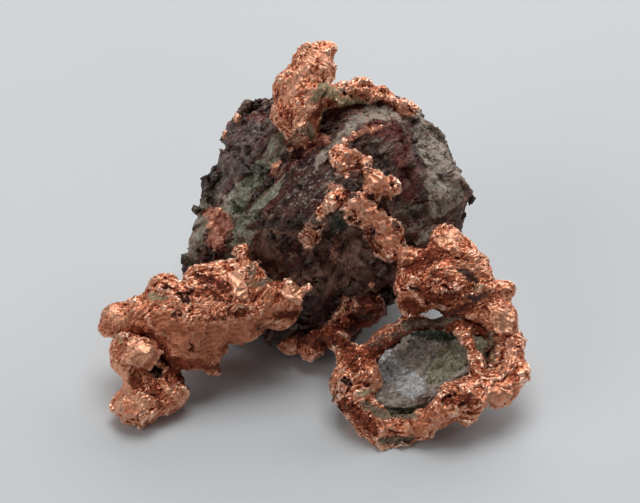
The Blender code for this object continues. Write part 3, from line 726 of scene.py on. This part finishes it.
# Each torn face is painted a little lighter or darker: painted glints.
face = add("TexVoronoi", {"Vector": spot, "Scale": COPPER_FACES}, out="Color")
face = add("SeparateColor", {"Color": face})
uneven = add("Math", {0: face, 1: 0.16, 2: -0.08}, operation="MULTIPLY_ADD")
level = add("Math", {0: level, 1: uneven}, operation="ADD")
colour = add(
    "ValToRGB", {"Fac": level},
    stops=((0.14, "#FFCFB4"), (0.84, "#42140B"), (0.32, "#F4AF8E"), (0.48, "#DC8A65"), (0.66, "#964027")),
)
satin = add("Attribute", out="Fac", attribute_name="satin")
brown = add(
    "ValToRGB", {"Fac": mottle},
    stops=((0.3, "#8C4E38"), (0.7, "#E29A7A"), (0.5, "#BE7657")),
)
share = add("Math", {0: satin, 1: 0.7}, operation="MULTIPLY")
colour = add("Mix", {0: share, 6: colour, 7: brown}, out=2)
covers = {}
for stain, low, high, dark, light in (
    # Pale: part fresh metal and part painted highlight.
    ("pale", 0.3, 0.7, "#E8A07C", "#FFC6A6"),
    ("red", 0.3, 0.8, "#4E1C12", "#A8583C"),
    ("green", 0.4, 0.75, "#8A7C5A", "#DACCA4"),
    ("crust", 0.35, 0.65, "#46382C", "#A08C70"),
    ("dark", 0.4, 0.8, "#2C1814", "#70483C"),
):
    colour, cover = paint(add, colour, stain, dark, light, speck, 2.4, low, high, mottle, 2.6, 0.8)
    covers[stain] = cover
stone = add("Math", {0: covers["dark"], 1: covers["green"]}, operation="MAXIMUM")
stone = add("Math", {0: stone, 1: covers["crust"]}, operation="MAXIMUM")
bare = add("MapRange", {0: stone, 3: 1.0, 4: 0.0})
oxide = add("MapRange", {0: level, 1: 0.5, 2: 0.9, 3: 0.82, 4: 0.4})
metallic = add("Math", {0: bare, 1: oxide}, operation="MULTIPLY")
rubbed = add("MapRange", {0: level, 1: 0.2, 2: 0.8, 3: 0.3, 4: 0.6})
roughness = add("Math", {0: satin, 1: 0.12, 2: rubbed}, operation="MULTIPLY_ADD")
roughness = add("Math", {0: stone, 1: 0.25, 2: roughness}, operation="MULTIPLY_ADD", use_clamp=True)
grit = add("Bump", {"Height": speck, "Strength": 0.5, "Distance": 0.12 * MM})
creased = add(
    "TexNoise",
    {"Vector": spot, "Scale": COPPER_CREASES, "Detail": 4, "Roughness": 0.6, "Distortion": 0.6},
    noise_type="RIDGED_MULTIFRACTAL",
)
bump = add("Bump", {"Height": creased, "Strength": 0.8, "Distance": 0.12 * MM, "Normal": grit})
shader = add(
    "BsdfPrincipled",
    {"Base Color": colour, "Metallic": metallic, "Roughness": roughness, "Normal": bump},
)
add("OutputMaterial", {"Surface": shader})

# Each limb's places are stations of (across, up, radius). A knob is a ball, given by its centre
# (across, up, out) and radius. A tug is a place, its radius and how far it pulls right and up. A
# sink or a pit starts with its depth.
horn = grown(
    "horn", "copper_horn", 200, stretch=(0.2, 0.6, 0.7), hackle=0.6, crumple=0.9, fine=0.65,
    tugs=[(3, 18, 3.6, -2.0, 0.4), (-5.4, 16, 2.8, 1.8, 0.2), (-3, 13, 2.8, 0.6, 1.6)],
    sinks=[
        (1.3, (2.4, 20, 1.6), (2, 16, 2.2)), (1.2, (6, 22, 0.8), (14, 20, 1.0)),
        (0.8, (-4, 13.6, 1.4), (-1, 13.6, 1.4)),
    ],
    hackly=[((-3, 16.6, 1.4), (2, 17.4, 1.2)), ((6, 22.6, 1), (14, 20.4, 1))],
    pale=[
        ((-3.2, 22, 0.9), (-1.4, 25.4, 1.0), (0.4, 28.4, 0.8)),
        ((-1.6, 17.6, 0.8), (-0.6, 20, 1.0), (0.2, 22, 0.9)), ((2, 28, 0.6), (3.2, 24, 0.7)),
        ((5.6, 22.8, 0.6), (9.4, 22.2, 0.7), (14, 19.8, 0.6)),
    ],
    green=[
        ((0.6, 21.6, 0.8), (2.2, 22.8, 1.2), (3.6, 22.2, 0.8)), ((2.4, 19.4, 1.0), (2.2, 17, 1.0)),
        ((4.4, 21.2, 0.8), (8, 21, 0.6)),
    ],
    crust=[
        ((3, 17.6, 0.8), (2.8, 16.2, 1.0)), ((-4.6, 13.6, 0.7), (-1, 13.2, 0.7)),
        ((-0.2, 18, 0.3), (0.2, 16.4, 0.7)),
    ],
    thin_crust=[((-3.4, 15, 0.9), (0, 17.4, 1.0)), ((5, 20.4, 0.5), (9, 19.8, 0.5))],
    dim=[((-3.4, 18.8, 0.5), (-2.6, 17, 0.4))],
    red=[
        ((0, 18.6, 0.6), (1.6, 20.4, 0.5)), ((3, 21, 0.5), (5, 21.4, 0.4)),
        ((10, 21, 0.5), (12, 20.4, 0.5)),
    ],
)
left_arm = grown(
    "left_arm", "copper_left_arm", 300, hackle=0.55, crumple=0.7, fine=0.75,
    knobs=[(-27.6, -10.2, -2.2, 2.6)],
    tugs=[
        (-20.2, -4.6, 1.4, 0.5, 0.7), (-22.4, -5.4, 1.6, 0.5, -0.3), (-11.6, -16.4, 2.4, -1.2, 0),
        (-8.4, -12, 3.6, 0, -1.6), (-3.4, -9.8, 3.2, 0, -1.5), (-14, -18, 1.4, 0, -0.7),
        (-11.8, -1.2, 2.2, 1.3, 0.2), (-8.4, -0.8, 1.8, -0.5, 0.3),
    ],
    satin=[
        ((-21, -10.9, 1.4), (-15.7, -13.8, 2.9), (-10, -12.1, 2.0), (-6.9, -10.7, 1.2)),
        ((-27.6, -10.2, 2.0),), ((-6, -8.8, 0.8), (-2.6, -9, 0.8)),
    ],
    hackly=[
        ((-16.4, -4.6, 1.6), (-11.4, -5.6, 1.8)), ((-16, -8, 0.8), (-11, -7.4, 0.8)),
        ((-10.6, -1, 1), (-9.4, -4, 0.8)),
    ],
    pits=[
        (0.7, (-21, -5, 0.2), (-20.2, -5.4, 0.2)), (0.7, (-18.6, -6.6, 0.25), (-17.6, -7.4, 0.35)),
        (0.6, (-18.6, -9.2, 0.3)), (0.4, (-17.1, -13, 0.12), (-16.8, -14.2, 0.2)),
        (0.5, (-16.2, -6.4, 0.15), (-15, -5.4, 0.2)),
    ],
    dark=[((-18.2, -6.8, 0.4), (-17.4, -7.4, 0.5)), ((-18.6, -9.2, 0.4),), ((-20.6, -5.2, 0.3),)],
    thin_crust=[((-9.2, -4.6, 1.2), (-8.2, -2.6, 0.9))],
    crust=[((-8.6, -3.6, 0.3), (-8.2, -2.8, 0.3)), ((-7.6, -4.8, 0.4), (-6, -4.4, 0.3))],
    dim=[
        ((-17.9, -7.0, 0.9), (-19.4, -9.6, 0.8)), ((-20.8, -5, 0.5),),
        ((-7.6, -11.2, 0.8), (-4, -10.4, 0.6)),
    ],
    pale=[
        ((-11.1, -4.4, 0.8), (-9.5, -7, 0.8)), ((-9.8, -0.9, 0.5), (-9.4, -2.4, 0.4)),
        ((-28.8, -8.6, 0.9), (-26.6, -10.2, 0.9)), ((-16, -8.2, 0.4), (-12.4, -7.4, 0.5)),
    ],
    green=[((-22.4, -6.6, 0.6), (-20.6, -6.9, 0.5)), ((-17, -12, 0.3),)],
    red=[
        ((-16, -3.6, 0.6), (-12, -5.4, 1.0)), ((-19, -16, 0.8), (-13.2, -16.8, 0.6)),
        ((-24.6, -11.4, 0.6), (-20.6, -16, 0.7)), ((-4.6, -9.4, 0.8), (-2.6, -9, 0.7)),
        ((-27.6, -12.4, 0.5), (-25, -12, 0.4)), ((-19.4, -6, 0.5), (-14.6, -6, 0.6), (-12.6, -7, 0.4)),
        ((-14, -10, 0.4), (-9, -8.6, 0.4)),
    ],
)
left_leg = grown(
    "left_leg", "copper_left_leg", 400, hackle=0.5, crumple=0.8, fine=0.75,
    tugs=[(-27.6, -18.8, 2.4, 1.2, 0), (-27.8, -22.4, 2.8, -1.0, 0)],
    satin=[((-26, -14.6, 1.4), (-22.6, -14.2, 1.3)), ((-28, -17, 0.8), (-27.6, -19.4, 0.8))],
    hackly=[((-25, -18.6, 1.0), (-23, -20, 1.2)), ((-26.8, -23, 1.2), (-24, -23.4, 1.4))],
    pits=[(0.9, (-23.2, -16.8, 0.4), (-21.8, -17.6, 0.5))],
    dark=[((-23, -16.9, 0.5), (-21.6, -17.8, 0.5))],
    dim=[((-25.4, -16, 0.5), (-24.4, -16.8, 0.6))],
    pale=[
        ((-27, -22.8, 1.5), (-24.4, -22, 1.6)), ((-27.6, -16.6, 0.9), (-26.6, -20, 1.1)),
        ((-24.6, -14.6, 0.9), (-22.6, -14.4, 0.8)), ((-20.4, -19.8, 0.5), (-18, -21.4, 0.5)),
    ],
    green=[((-27, -12.8, 0.4),)],
    red=[
        ((-21.7, -14.3, 0.7), (-19.9, -16.6, 0.8), (-17.7, -19.3, 0.6)), ((-25, -19, 1.0),),
        ((-22, -20.6, 0.5), (-21, -22.4, 0.5)),
    ],
)
right_arm = grown(
    "right_arm", "copper_right_arm", 500, buckle=0.9, hackle=0.5, crumple=0.7, fine=0.65,
    satin=[((27.2, -8.6, 1.2), (28, -11, 1.2))],
    hackly=[((14.6, -7, 2), (16, -4, 2.4), (21, -6, 1.8))],
    pits=[
        (0.4, (14.5, -5.4, 0.3), (15.4, -5.7, 0.2)), (0.4, (16.4, -4.8, 0.2)), (0.4, (19.6, -5.3, 0.2)),
    ],
    dark=[
        ((21.2, -2.8, 0.5), (22.5, -3.5, 0.7), (23.6, -4.2, 0.5)), ((22.6, -6.9, 0.6), (25.4, -6.5, 0.5)),
        ((14.4, -5.4, 0.3), (15.2, -5.6, 0.3)),
    ],
    dim=[
        ((17.4, -9.7, 0.6), (20.7, -8.9, 0.7), (23.1, -8, 0.6)), ((22.6, -6.7, 1.0), (25.6, -6.6, 0.9)),
        ((12.4, -3, 0.7), (13.6, -1, 0.6)),
    ],
    pale=[
        ((18.4, 1.4, 0.8), (21, 2, 0.8)), ((25, -1.6, 0.6),),
        ((21.2, -1.9, 0.2), (23.2, -2.5, 0.3), (24.4, -4, 0.2)),
    ],
    green=[((23.6, -5.4, 0.5), (25, -5.2, 0.4))],
    red=[
        ((14.4, -2.4, 1.2), (18.2, -0.6, 1.0)), ((17.4, -9.7, 0.8), (23.1, -8, 0.8)),
        ((14, -7.6, 1.0), (16, -9, 0.8)), ((15.4, -5.6, 0.6), (18.4, -7, 0.8), (21, -6.4, 0.6)),
        ((17.6, -3.4, 0.5), (20, -4.4, 0.5)),
    ],
)
cage = grown(
    "cage", "copper_ring", 600, buckle=1.3, hackle=0.6, crumple=1.2, fine=0.8,
    satin=[((15.4, -25.6, 0.7), (18.6, -23.4, 0.7)), ((25.4, -20.8, 1.0), (28.4, -20.4, 1.0))],
    hackly=[
        ((6, -16, 1.2), (8.8, -19, 1.2)), ((20, -22, 1.6), (22.4, -20, 1.4)),
        ((3.8, -19, 1.4), (8, -25, 1.2)),
    ],
    pits=[
        (0.6, (4.8, -18.4, 0.35), (5.6, -19, 0.4)), (0.5, (19.6, -20.6, 0.2), (20.6, -20.2, 0.2)),
        (0.5, (21.6, -21.8, 0.3)), (0.5, (4, -22, 0.3), (4.8, -23, 0.2)),
    ],
    dark=[((5, -18.5, 0.4), (5.8, -19.2, 0.4)), ((3.2, -20.6, 0.3), (3.6, -21.6, 0.3))],
    dim=[
        ((9.6, -13, 1.0), (12, -11.4, 1.2), (17, -10.6, 1.4), (20.6, -9.8, 1.0)),
        ((26.4, -14, 0.6), (27.4, -17.6, 0.6)), ((2.8, -17, 0.8), (3.2, -22, 0.8)),
        ((11, -27.1, 0.9), (14.6, -27.1, 0.9)), ((19, -19, 0.7), (22.6, -18.6, 0.7)),
        ((25, -12, 0.8), (25.4, -17, 0.8)),
    ],
    pale=[((9, -17, 0.5), (9.4, -19.4, 0.6)), ((26.6, -16, 0.4), (28, -17.6, 0.4))],
    crust=[
        ((13.6, -10.8, 0.6), (17, -10.4, 0.8), (21.4, -9.4, 0.7)),
        ((7.6, -21.8, 0.5), (10.4, -23.4, 0.8), (14.6, -23.6, 0.6)),
        ((10.6, -27.3, 0.6), (14.4, -27.2, 0.6)),
    ],
    thin_crust=[
        ((25.6, -11.8, 0.9), (26.2, -16.4, 0.7)), ((9, -13.4, 0.8), (14, -11, 0.8)),
        ((25, -20.8, 0.8), (28, -20, 0.8)),
    ],
    green=[
        ((7.2, -20.4, 0.5), (8.6, -20.2, 0.4)), ((26, -12, 0.5), (26, -16, 0.4)),
        ((4, -24, 0.3), (5, -25, 0.3)),
    ],
    red=[
        ((3.6, -12.6, 1), (5.4, -14, 1), (6.6, -17, 0.8)),
        ((8, -15, 1), (13.6, -12, 1.4), (22, -10, 1.2)), ((5, -22, 1), (9, -25.6, 1)),
        ((24, -11, 1), (26, -13.6, 0.8)), ((19.6, -21.6, 0.7), (22.8, -21.4, 0.8)),
    ],
)
vein = grown(
    "face_vein", "copper_face_vein", 700, grain=0.9, buckle=1.7, hackle=0.95, swell=0.02, crumple=2.1,
    fine=0.8, stretch=(0.95, 0.2, 0.15),
    tugs=[
        (11, 11.8, 2.2, -0.3, -1.4), (13.2, 7.4, 2.4, -1.4, 0.3), (10.6, 2.6, 2.6, -0.6, 0.4),
        (13.6, -1, 1.6, 0.5, -0.6),
    ],
    hackly=[((4.4, 13.6, 1.2), (6, 12.4, 1.2)), ((6, 6, 1.4), (9.6, 4, 1.6))],
    sinks=[(1.0, (0.2, 3.4, 0.9), (3.8, 6, 0.9))],
    pits=[
        (0.9, (7.2, 10.6, 0.4), (7.4, 9.6, 0.3)), (0.8, (9.4, 3, 0.3), (10.4, 1.6, 0.4)),
        (0.7, (5.8, 4.6, 0.2), (7.2, 4, 0.25)), (0.7, (7, 7.2, 0.2), (9, 6.2, 0.25)),
        (0.7, (11.2, 3.8, 0.2), (12.4, 3.2, 0.2)),
    ],
    dark=[
        ((9.4, 2.8, 0.5), (10.4, 1.6, 0.4)), ((7.2, 10.6, 0.6), (7, 9, 0.6)),
        ((5.8, 7.6, 0.4), (8.4, 7.4, 0.4)), ((8.2, 12.2, 0.3), (8.8, 11.2, 0.3)),
    ],
    dim=[((12.2, 7.8, 0.6), (12.6, 6.6, 0.6)), ((8.6, 3.4, 0.6), (9.4, 1, 0.5))],
    pale=[
        ((4.4, 13.8, 0.6), (5.8, 12.2, 0.7)), ((7.9, 13.4, 0.4),), ((8, 9.4, 0.5), (10.4, 8.4, 0.5)),
        ((9, 0.2, 0.5), (12.4, 0.8, 0.6)),
    ],
    green=[((11.4, 3, 0.5), (12, 1.6, 0.5))],
    thin_crust=[((10, 4, 0.8), (12.2, 1.6, 0.9)), ((9.4, 10.2, 0.5), (11.6, 9.6, 0.5))],
    red=[
        ((6.6, 5.2, 0.6), (9.6, 5, 0.8)), ((5, 8, 0.5), (6.4, 7.4, 0.5)),
        ((7, 11.6, 0.4), (8.6, 10.8, 0.4)), ((8, 2.6, 0.5), (9.4, 0, 0.5)),
        ((6, 6.6, 0.3), (10, 3.4, 0.4)),
    ],
)
band = grown(
    "base_band", "copper_base_band", 800, grain=0.9, buckle=1.4, hackle=0.7, crumple=1.4, fine=0.8,
    sinks=[(1.2, (6, -5.6, 1.4), (10, -4.6, 1.4))],
    dim=[
        ((-2.6, -12.4, 0.8), (1, -13, 1.0), (4.4, -12.4, 0.8), (7, -11.4, 0.9)),
        ((6.4, -7.6, 2.0), (10.4, -6.4, 1.8)),
    ],
    dark=[((5.6, -6, 1.0), (9, -5.2, 1.2)), ((7, -9.6, 0.5), (9.6, -9.4, 0.4))],
    red=[((-2, -12, 1.4), (2, -13, 1.6), (9, -9, 2.0)), ((8, -7, 1.6),)],
)
points = read(vein)
sunk = np.clip((seen(points)[:, 0] - 3.6) / 1.6, 0, 1)  # the twig at its left stands free
place(vein, points - np.array(OUT) * (sunk * (0.5 + 0.9 * rough(points, 2.0, 791, 2)))[:, None])
for limb in (horn, left_arm, left_leg, right_arm, cage, vein, band):
    limb.data.materials.append(native)

# ---------------------------------------------------------------- flakes and grains of copper
# Loose-edged sheets that peel from the limbs, and grains caught in the rock. The sheets are
# hammered-thin native copper, bent where the rock broke away, and rooted in the limb or rock.

SHEET_THICKNESS = 0.35  # millimetres
SHEET_GRAIN = 0.1


def surface(on, across, up):
    """The first spot on these pieces, in millimetres, that the camera sees at a place on the best
    face, and the way out of it."""
    eye = camera.location / MM
    aim = FACE_ORIGIN + ACROSS * across + UP * up
    way = (aim - eye).normalized()
    found = []
    for piece in on:
        hit, spot, normal, _ = piece.ray_cast(eye * MM, way)
        if hit:
            found.append((((spot / MM) - eye).length, spot / MM, normal))
    return min(found, key=lambda one: one[0])[1:] if found else None


def flake(name, on, corners, lift, seed, pale, curl, pleat):
    """A thin torn sheet over four corners of (across, up), lifted off the pieces under it."""
    bpy.ops.object.select_all(action="DESELECT")
    bpy.ops.mesh.primitive_grid_add(x_subdivisions=26, y_subdivisions=26, size=2)
    sheet = bpy.context.object
    sheet.name = sheet.data.name = name
    share = read(sheet)[:, :2] / 2000 + 0.5
    x, y = share[:, 0], share[:, 1]
    shares = ((1 - x) * (1 - y), x * (1 - y), x * y, (1 - x) * y)
    spots = sum(np.outer(part, corner) for part, corner in zip(shares, corners))
    found = [surface(on, across, up) for across, up in spots]
    out = np.array([(hit[0] - FACE_ORIGIN).dot(OUT) if hit else np.nan for hit in found])
    out = np.where(np.isnan(out), np.nanmedian(out), out)
    out = smoothed(sheet, out[:, None], 12)[:, 0] + sum(part * rise for part, rise in zip(shares, lift))
    points = np.array(FACE_ORIGIN) + np.outer(spots[:, 0], ACROSS) + np.outer(spots[:, 1], UP)
    points += np.outer(out, OUT)
    rim = np.clip(1 - 5 * np.minimum(np.minimum(x, 1 - x), np.minimum(y, 1 - y)), 0, 1)
    for axis in range(3):
        points[:, axis] += rim * 0.45 * rough(points, 1.3, seed + axis * 5, 2)
    bend = curl * (4 * x * (1 - x) + 4 * y * (1 - y) - 1) + 0.12 * rough(points, 1.5, seed + 20, 2)
    creases = np.stack([x * 3.6, y * 1.4, x * 0], axis=1) + 0.9 * noise(points, 2.0, seed + 25)[:, None]
    bend += pleat * rough(creases, 1.4, seed + 22, 1, ridged=True)
    place(sheet, points + np.outer(bend, np.array(OUT)))
    apply(sheet, "SOLIDIFY", thickness=SHEET_THICKNESS * MM, offset=-1)
    apply(sheet, "REMESH", mode="VOXEL", voxel_size=SHEET_GRAIN * MM)
    finish_small(sheet, seed, 0.35, pale)


def finish_small(piece, seed, wild, pale=0.3):
    """Pricks a small copper piece with torn faces, and gives it the limbs' finish."""
    points = read(piece)
    torn = 0.08 * rough(points, 0.7, seed + 41, 2, ridged=True) + 0.1 * facets(points, 0.4, seed + 42)
    raise_by(piece, wild * torn)
    # As on the limbs: painted highlight on crests, painted shade with oxide in hollows.
    mark(piece, "hollow", hollowness(piece, 6, 0.12) * 0.5 + 0.4)
    for name, value in (("deep", 0.46), ("satin", 0.4 - 0.4 * wild), ("pale", pale)):
        mark(piece, name, np.full(len(points), value))
    for name in ("dark", "green", "red", "crust"):
        mark(piece, name, np.zeros(len(points)))
    piece.data.materials.clear()
    piece.data.materials.append(native)
    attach(piece, "root")


# Their corners, how far each is lifted, seed, how pale they are, how far they curl and how deep
# their pleats are, in millimetres.
for name, on, corners, lift, seed, pale, curl, pleat in (
    ("tip_flake", [left_arm],
     ((-4.6, -5.6), (-1.5, -8), (-1.1, -5.8), (-3.0, -4.9)), (0.1, 1.1, 0.9, 0.1), 901, 0.9, 0, 0.2),
    ("tip_spike", [left_arm],
     ((-2.2, -6.2), (-1.6, -6.4), (0.2, -5.3), (-1.6, -5.6)), (0.3, 0.5, 0.5, 0.3), 905, 0.7, 0, 0.05),
    ("leg_sheet", [left_leg, left_arm],
     ((-27, -15.8), (-22.6, -17.2), (-20.9, -14.4), (-25.6, -12)), (1.2, 2.2, 1.6, 0.2), 911, 0.5, 0.1, 0.12),
    ("foil", [right_arm, cage],
     ((25.2, -7.2), (26.4, -11.6), (28.8, -12), (29.2, -8.8)), (0.1, 1.6, 1.6, 0.3), 921, 0.85, 0.1, 0.3),
    ("fin", [left_arm],
     ((-12, -3.2), (-10.6, -6.6), (-8.4, -7.2), (-9.6, -3.0)), (0.2, 0.4, 0.3, 0.3), 931, 0.8, 0.1, 0.2),
    ("fan", [vein, rock],
     ((5.2, 6.8), (8.2, 3.4), (10.6, 5), (7.6, 8.2)), (0.35, 0.25, 0.25, 0.35), 941, 0.1, 0.1, 0.3),
    ("sugar", [vein, rock],
     ((8.8, 4.6), (9.6, 0.6), (12.6, 0.8), (11.4, 4.8)), (0.3, 0.3, 0.3, 0.3), 945, 0.1, 0.1, 0.25),
    ("bloom", [vein, rock],
     ((7.8, 11), (8.4, 8.2), (11.6, 7.8), (11.4, 10.4)), (0.3, 0.3, 0.3, 0.3), 947, 0.25, 0.15, 0.15),
    ("lip", [vein, rock, right_arm],
     ((12.6, 0.8), (12.6, -1.8), (13.8, -1.6), (14.2, 0.4)), (0.4, 0.5, 0.4, 0.3), 951, 0.7, 0.1, 0.1),
    ("foot_foil", [cage],
     ((23.8, -21.2), (27.6, -22.2), (28.6, -20.2), (25.2, -18.6)), (0.3, 0.3, 0.3, 0.3), 961, 0.2, 0.1, 0.12),
    ("side_foil", [cage],
     ((27.6, -17), (29.2, -16.6), (29.4, -13), (28.2, -12.6)), (0.3, 0.3, 0.3, 0.3), 963, 0.4, 0.1, 0.05),
):
    flake(name, on, corners, lift, seed, pale, curl, pleat)


def joined(name, pieces):
    """One piece made of many."""
    bpy.ops.object.select_all(action="DESELECT")
    for piece in pieces:
        piece.select_set(True)
    bpy.context.view_layer.objects.active = pieces[0]
    bpy.ops.object.join()
    pieces[0].name = pieces[0].data.name = name
    return pieces[0]


grains = []
for across, up, size, tall in (
    (-10.4, 18.9, 0.7, 1.2), (-12.1, 16.4, 0.6, 1.2), (13.4, 20.9, 0.9, 1.3), (15.0, 20.2, 0.8, 1.0),
    (-4.9, 12, 0.5, 1.6), (9, 16.9, 0.6, 1.2), (6.4, 16.4, 0.5, 1.4), (10.2, 17.4, 0.5, 1.2),
    (-0.4, 1.9, 0.9, 1.2), (8.8, -5, 0.6, 1.0), (-14.2, 3.6, 0.6, 1.2), (-13, 5.4, 0.5, 1.2),
    (5.2, 10.6, 0.4, 1.2), (-2.8, 14.4, 0.4, 1.8), (-7.2, -1.6, 0.4, 1.0), (-0.8, 15, 0.4, 1.6),
):
    found = surface([rock, vein, horn], across, up)
    if not found:
        continue
    spot = found[0]
    bpy.ops.object.select_all(action="DESELECT")
    bpy.ops.mesh.primitive_ico_sphere_add(
        subdivisions=4, radius=0.8 * size * MM, location=Vector(spot) * MM
    )
    grain = bpy.context.object
    grain.scale = (1, 0.7, tall)
    grain.rotation_euler = (0.3 * across, 0.9 * up, across + up)
    bpy.ops.object.transform_apply(location=True, rotation=True, scale=True)
    grains.append(grain)
grains = joined("copper_grains", grains)
points = read(grains)
raise_by(grains, 0.3 * rough(points, 0.9, 971, 2) + 0.12 * rough(points, 0.7, 973, 1, ridged=True))
finish_small(grains, 975, 1.0)

# ---------------------------------------------------------------- crystals on the rock
# Olive-green and grey crystals, epidote and quartz, that stand out of the rock's skin: blocky
# prisms with flat faces, rooted in it.

CRYSTAL_GRAIN = 0.13

stones = []
for across, up, size, tall, turn in (
    (1.4, 22.6, 0.9, 1.3, 10), (2.8, 23, 0.7, 1.2, 50), (0.2, 21.2, 0.6, 1.2, 80),
    (2.4, 21.4, 0.6, 1.0, 30),
    (16.2, 1.6, 1.7, 0.8, 40), (14.8, 2.8, 1.2, 0.8, 70), (17.6, 2.8, 1.2, 0.8, 20),
    (16.4, 0.4, 1.0, 0.8, 55),
):
    found = surface([rock], across, up)
    if not found:
        continue
    spot, normal = found
    bpy.ops.object.select_all(action="DESELECT")
    bpy.ops.mesh.primitive_cylinder_add(
        vertices=6, radius=size * MM, depth=2 * size * tall * MM, location=Vector(spot) * MM
    )
    crystal = bpy.context.object
    crystal.rotation_euler = Vector(normal).to_track_quat("Z", "Y").to_euler()
    crystal.rotation_euler.rotate_axis("X", math.radians(turn))
    crystal.scale = (1, 0.7, 0.8)
    bpy.ops.object.transform_apply(location=True, rotation=True, scale=True)
    apply(crystal, "BEVEL", width=0.22 * size * MM, segments=2)
    stones.append(crystal)
stones = joined("rock_crystals", stones)
apply(stones, "REMESH", mode="VOXEL", voxel_size=CRYSTAL_GRAIN * MM)
chip(stones, 1.6, 977, 0.7, 0.4, 0.8)
points = read(stones)
raise_by(stones, 0.1 * rough(points, 0.9, 981, 2))
points = read(stones)
spots = seen(points)
for name in ("chlorite", "mauve", "warm", "purple", "maroon", "green_face", "metal"):
    mark(stones, name, np.zeros(len(points)))
# Painted glints on the crystals, at half strength.
mark(stones, "painted_glints", np.full(len(points), 0.5))
mark(stones, "grey", np.clip(0.9 - 0.1 * (spots[:, 1] - 10), 0, 0.9))
mark(stones, "pale", np.clip((spots[:, 1] - 18) / 4, 0, 0.7))
# Crystals low on the rock are painted darker: painted shade.
mark(stones, "painted_shade", np.clip((2 - spots[:, 1]) / 8, 0, 0.4))
mark(stones, "hollow", hollowness(stones, 8, 0.2) * 0.5 + 0.5)
mark(stones, "deep", np.full(len(points), 0.5))
stones.data.materials.clear()
stones.data.materials.append(basalt)
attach(stones, "root")

# ---------------------------------------------------------------- studio
# A pale matte board under soft light from above and behind the nugget, with two dim white cards
# nearer the camera, in a dim room, so that the hollow under it falls into deep soft shadow.

bpy.ops.object.select_all(action="DESELECT")
bpy.ops.mesh.primitive_plane_add(size=3, location=(0, 0, 0))
floor = bpy.context.object
floor.name = "floor"
board, add = finish_named("matte board")
shader = add("BsdfPrincipled", {"Base Color": "#D9DEE2", "Roughness": 0.9})
add("OutputMaterial", {"Surface": shader})
floor.data.materials.append(board)

for name, spot, across, tall, watts in (
    ("softbox", (0.02, 0.28, 0.85), 0.6, 0.5, 4.3),  # overhead, a little behind
    ("window", (0.34, 0.87, 0.58), 1.8, 0.7, 9.0),  # far behind, wide and low
    ("left_card", (-0.72, -0.29, 0.45), 0.6, 0.6, 1.9),
    ("right_card", (0.42, -0.72, 0.34), 0.5, 0.5, 0.55),
):
    panel = bpy.data.lights.new(name, "AREA")
    panel.shape = "RECTANGLE"
    panel.size, panel.size_y, panel.energy = across, tall, watts
    panel.color = (1.0, 0.99, 0.975)
    light = bpy.data.objects.new(name, panel)
    bpy.context.scene.collection.objects.link(light)
    light.location = spot
    light.rotation_euler = (Vector((0, 0, 0.015)) - light.location).to_track_quat("-Z", "Y").to_euler()

room = bpy.data.worlds.new("dim room")
room.use_nodes = True
room.node_tree.nodes["Background"].inputs["Color"].default_value = srgb("#C8CCD2")
room.node_tree.nodes["Background"].inputs["Strength"].default_value = 0.02
bpy.context.scene.world = room
bpy.context.scene.view_settings.view_transform = "Standard"
